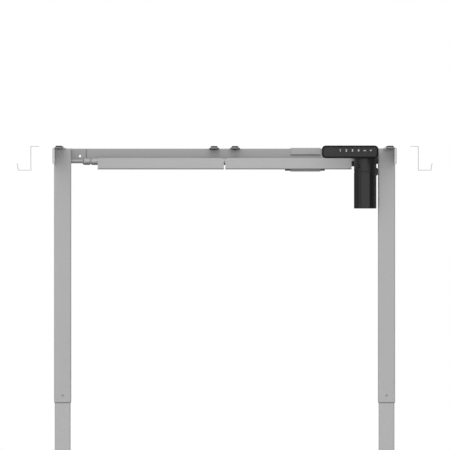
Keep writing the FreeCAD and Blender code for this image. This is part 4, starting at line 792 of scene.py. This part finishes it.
def foot_welds():
    """The bead round each inner tube where it meets its foot plate."""
    for side in ("left", "right"):
        low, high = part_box(f"{side}_lower_tube")
        centre = middle(low.x, high.x)
        flat_x, flat_y = (size / 2 - TUBE_CORNER for size in TUBE_SIZE)
        z = low.z + PLATE_THICK + FOOT_BEAD_RISE
        ring = []
        for quarter, (sx, sy) in enumerate(((1, 1), (-1, 1), (-1, -1), (1, -1))):
            for step in range(5):
                angle = math.pi / 2 * (quarter + step / 4)
                ring.append(
                    Vector((centre + sx * flat_x, sy * flat_y, z)) + facing(angle) * TUBE_CORNER
                )
        weld_bead(f"{side}_foot_weld", ring, FOOT_BEAD, f"{side}_base", closed=True, step=0.0014)


def stud_threads():
    """The thread on each levelling stud."""
    for side in ("left", "right"):
        for end in ("front", "rear"):
            low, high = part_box(f"{side}_{end}_leveller")
            centre = Vector((middle(low.x, high.x), middle(low.y, high.y), 0))
            base, roof = low.z + GLIDE_HEIGHT + THREAD_ENDS[0], high.z - THREAD_ENDS[1]
            steps = round((roof - base) / THREAD_PITCH * THREAD_STEPS)
            path = []
            for i in range(steps + 1):
                around = facing(i * 2 * math.pi / THREAD_STEPS) * (STUD_RADIUS - THREAD_SUNK)
                rise = Vector((0, 0, base + i * THREAD_PITCH / THREAD_STEPS))
                path.append(centre + around + rise)
            rig = bmesh.new()
            swept(rig, path, [THREAD_BAR] * len(path), sides=6)
            solid(f"{side}_{end}_thread", rig, "steel", f"{side}_{end}_glide")


PIECES = [
    key_legends, handset_rim, pad_seats, pad_shade_edgings, cover_ribs, cradle_shade_trim, motor_details,
    rail_shade_liners, rail_welds, foot_welds, stud_threads,
]

for make in PIECES:
    make()


# ---------------------------------------------------------------- stage, light and camera


def world_light():
    """A white studio: a broad panel in front of the object, softer light from above and around.

    Rays from the camera see plain white; everything else sees the panels.
    """
    world = bpy.data.worlds.new("studio")
    world.use_nodes = True
    tree = world.node_tree
    tree.nodes.clear()
    output = tree.nodes.new("ShaderNodeOutputWorld")
    place = tree.nodes.new("ShaderNodeTexCoord")
    way = split_vector(tree, place.outputs["Generated"])
    forward = math_node(tree, "MULTIPLY", way["Y"], -1.0)
    azimuth = math_node(tree, "ARCTAN2", way["X"], forward)
    ramp = tree.nodes.new("ShaderNodeValToRGB")
    share = math_node(tree, "MULTIPLY_ADD", azimuth, 0.5 / math.pi, 0.5)
    tree.links.new(share, ramp.inputs["Fac"])
    stops = ramp.color_ramp.elements
    while len(stops) < len(PANELS):
        stops.new(0.5)
    for stop, (degrees, level) in zip(stops, PANELS):
        stop.position = 0.5 + degrees / 360
        stop.color = (level, level, level, 1)
    sky = ranged(tree, way["Z"], *SKY_HEIGHTS, *SKY)
    level = math_node(tree, "MULTIPLY", ramp.outputs["Color"], sky)

    # a dark band low behind the object keeps its upright edges from catching a bright rim
    behind = ranged(tree, math_node(tree, "ABSOLUTE", azimuth), *DARK_AZIMUTH)
    low_down = ranged(tree, math_node(tree, "ABSOLUTE", way["Z"]), *reversed(DARK_HEIGHT))
    dark = math_node(tree, "MULTIPLY", behind, low_down)
    kept = math_node(tree, "MULTIPLY_ADD", dark, DARK_LIGHT - 1, 1.0)
    level = math_node(tree, "MULTIPLY", level, kept)

    light = tree.nodes.new("ShaderNodeBackground")
    tree.links.new(level, light.inputs["Strength"])
    seen = tree.nodes.new("ShaderNodeBackground")
    path = tree.nodes.new("ShaderNodeLightPath")
    mix = tree.nodes.new("ShaderNodeMixShader")
    for node in (light, seen):
        node.inputs["Color"].default_value = (1, 1, 1, 1)
    tree.links.new(path.outputs["Is Camera Ray"], mix.inputs[0])
    tree.links.new(light.outputs[0], mix.inputs[1])
    tree.links.new(seen.outputs[0], mix.inputs[2])
    tree.links.new(mix.outputs[0], output.inputs["Surface"])
    bpy.context.scene.world = world


def floor():
    """A pale disc just under the feet."""
    mesh = bpy.data.meshes.new("floor")
    rig = bmesh.new()
    bmesh.ops.create_circle(rig, cap_ends=True, segments=96, radius=FLOOR_RADIUS)
    rig.to_mesh(mesh)
    rig.free()
    mesh.materials.append(
        surface(
            "floor_paint", grey(226), rough=0.8, tone=0.01, grain=60, depth=0.05,
            round_edges=0.001,
        )
    )
    piece = add_object("floor", mesh)
    piece.location = (0, 0, -FLOOR_DROP)


def camera():
    """The straight front view."""
    data = bpy.data.cameras.new("camera")
    data.sensor_width = SENSOR_MM
    data.lens = LENS_MM
    data.clip_start, data.clip_end = CLIP
    eye = add_object("camera", data)
    eye.location = (CAMERA_X, CAMERA_Y, top - CAMERA_DROP)
    eye.rotation_euler = (math.pi / 2, 0, 0)
    bpy.context.scene.camera = eye


def light_past_handset():
    """Lets the soft light reach what is behind the hand control, which throws no shadow."""
    for name in ("handset_front", "handset_back", "handset_lens", "handset_bracket"):
        nodes[name].visible_diffuse = False
        nodes[name].visible_shadow = False


world_light()
floor()
camera()
light_past_handset()
bpy.context.scene.view_settings.view_transform = "Standard"
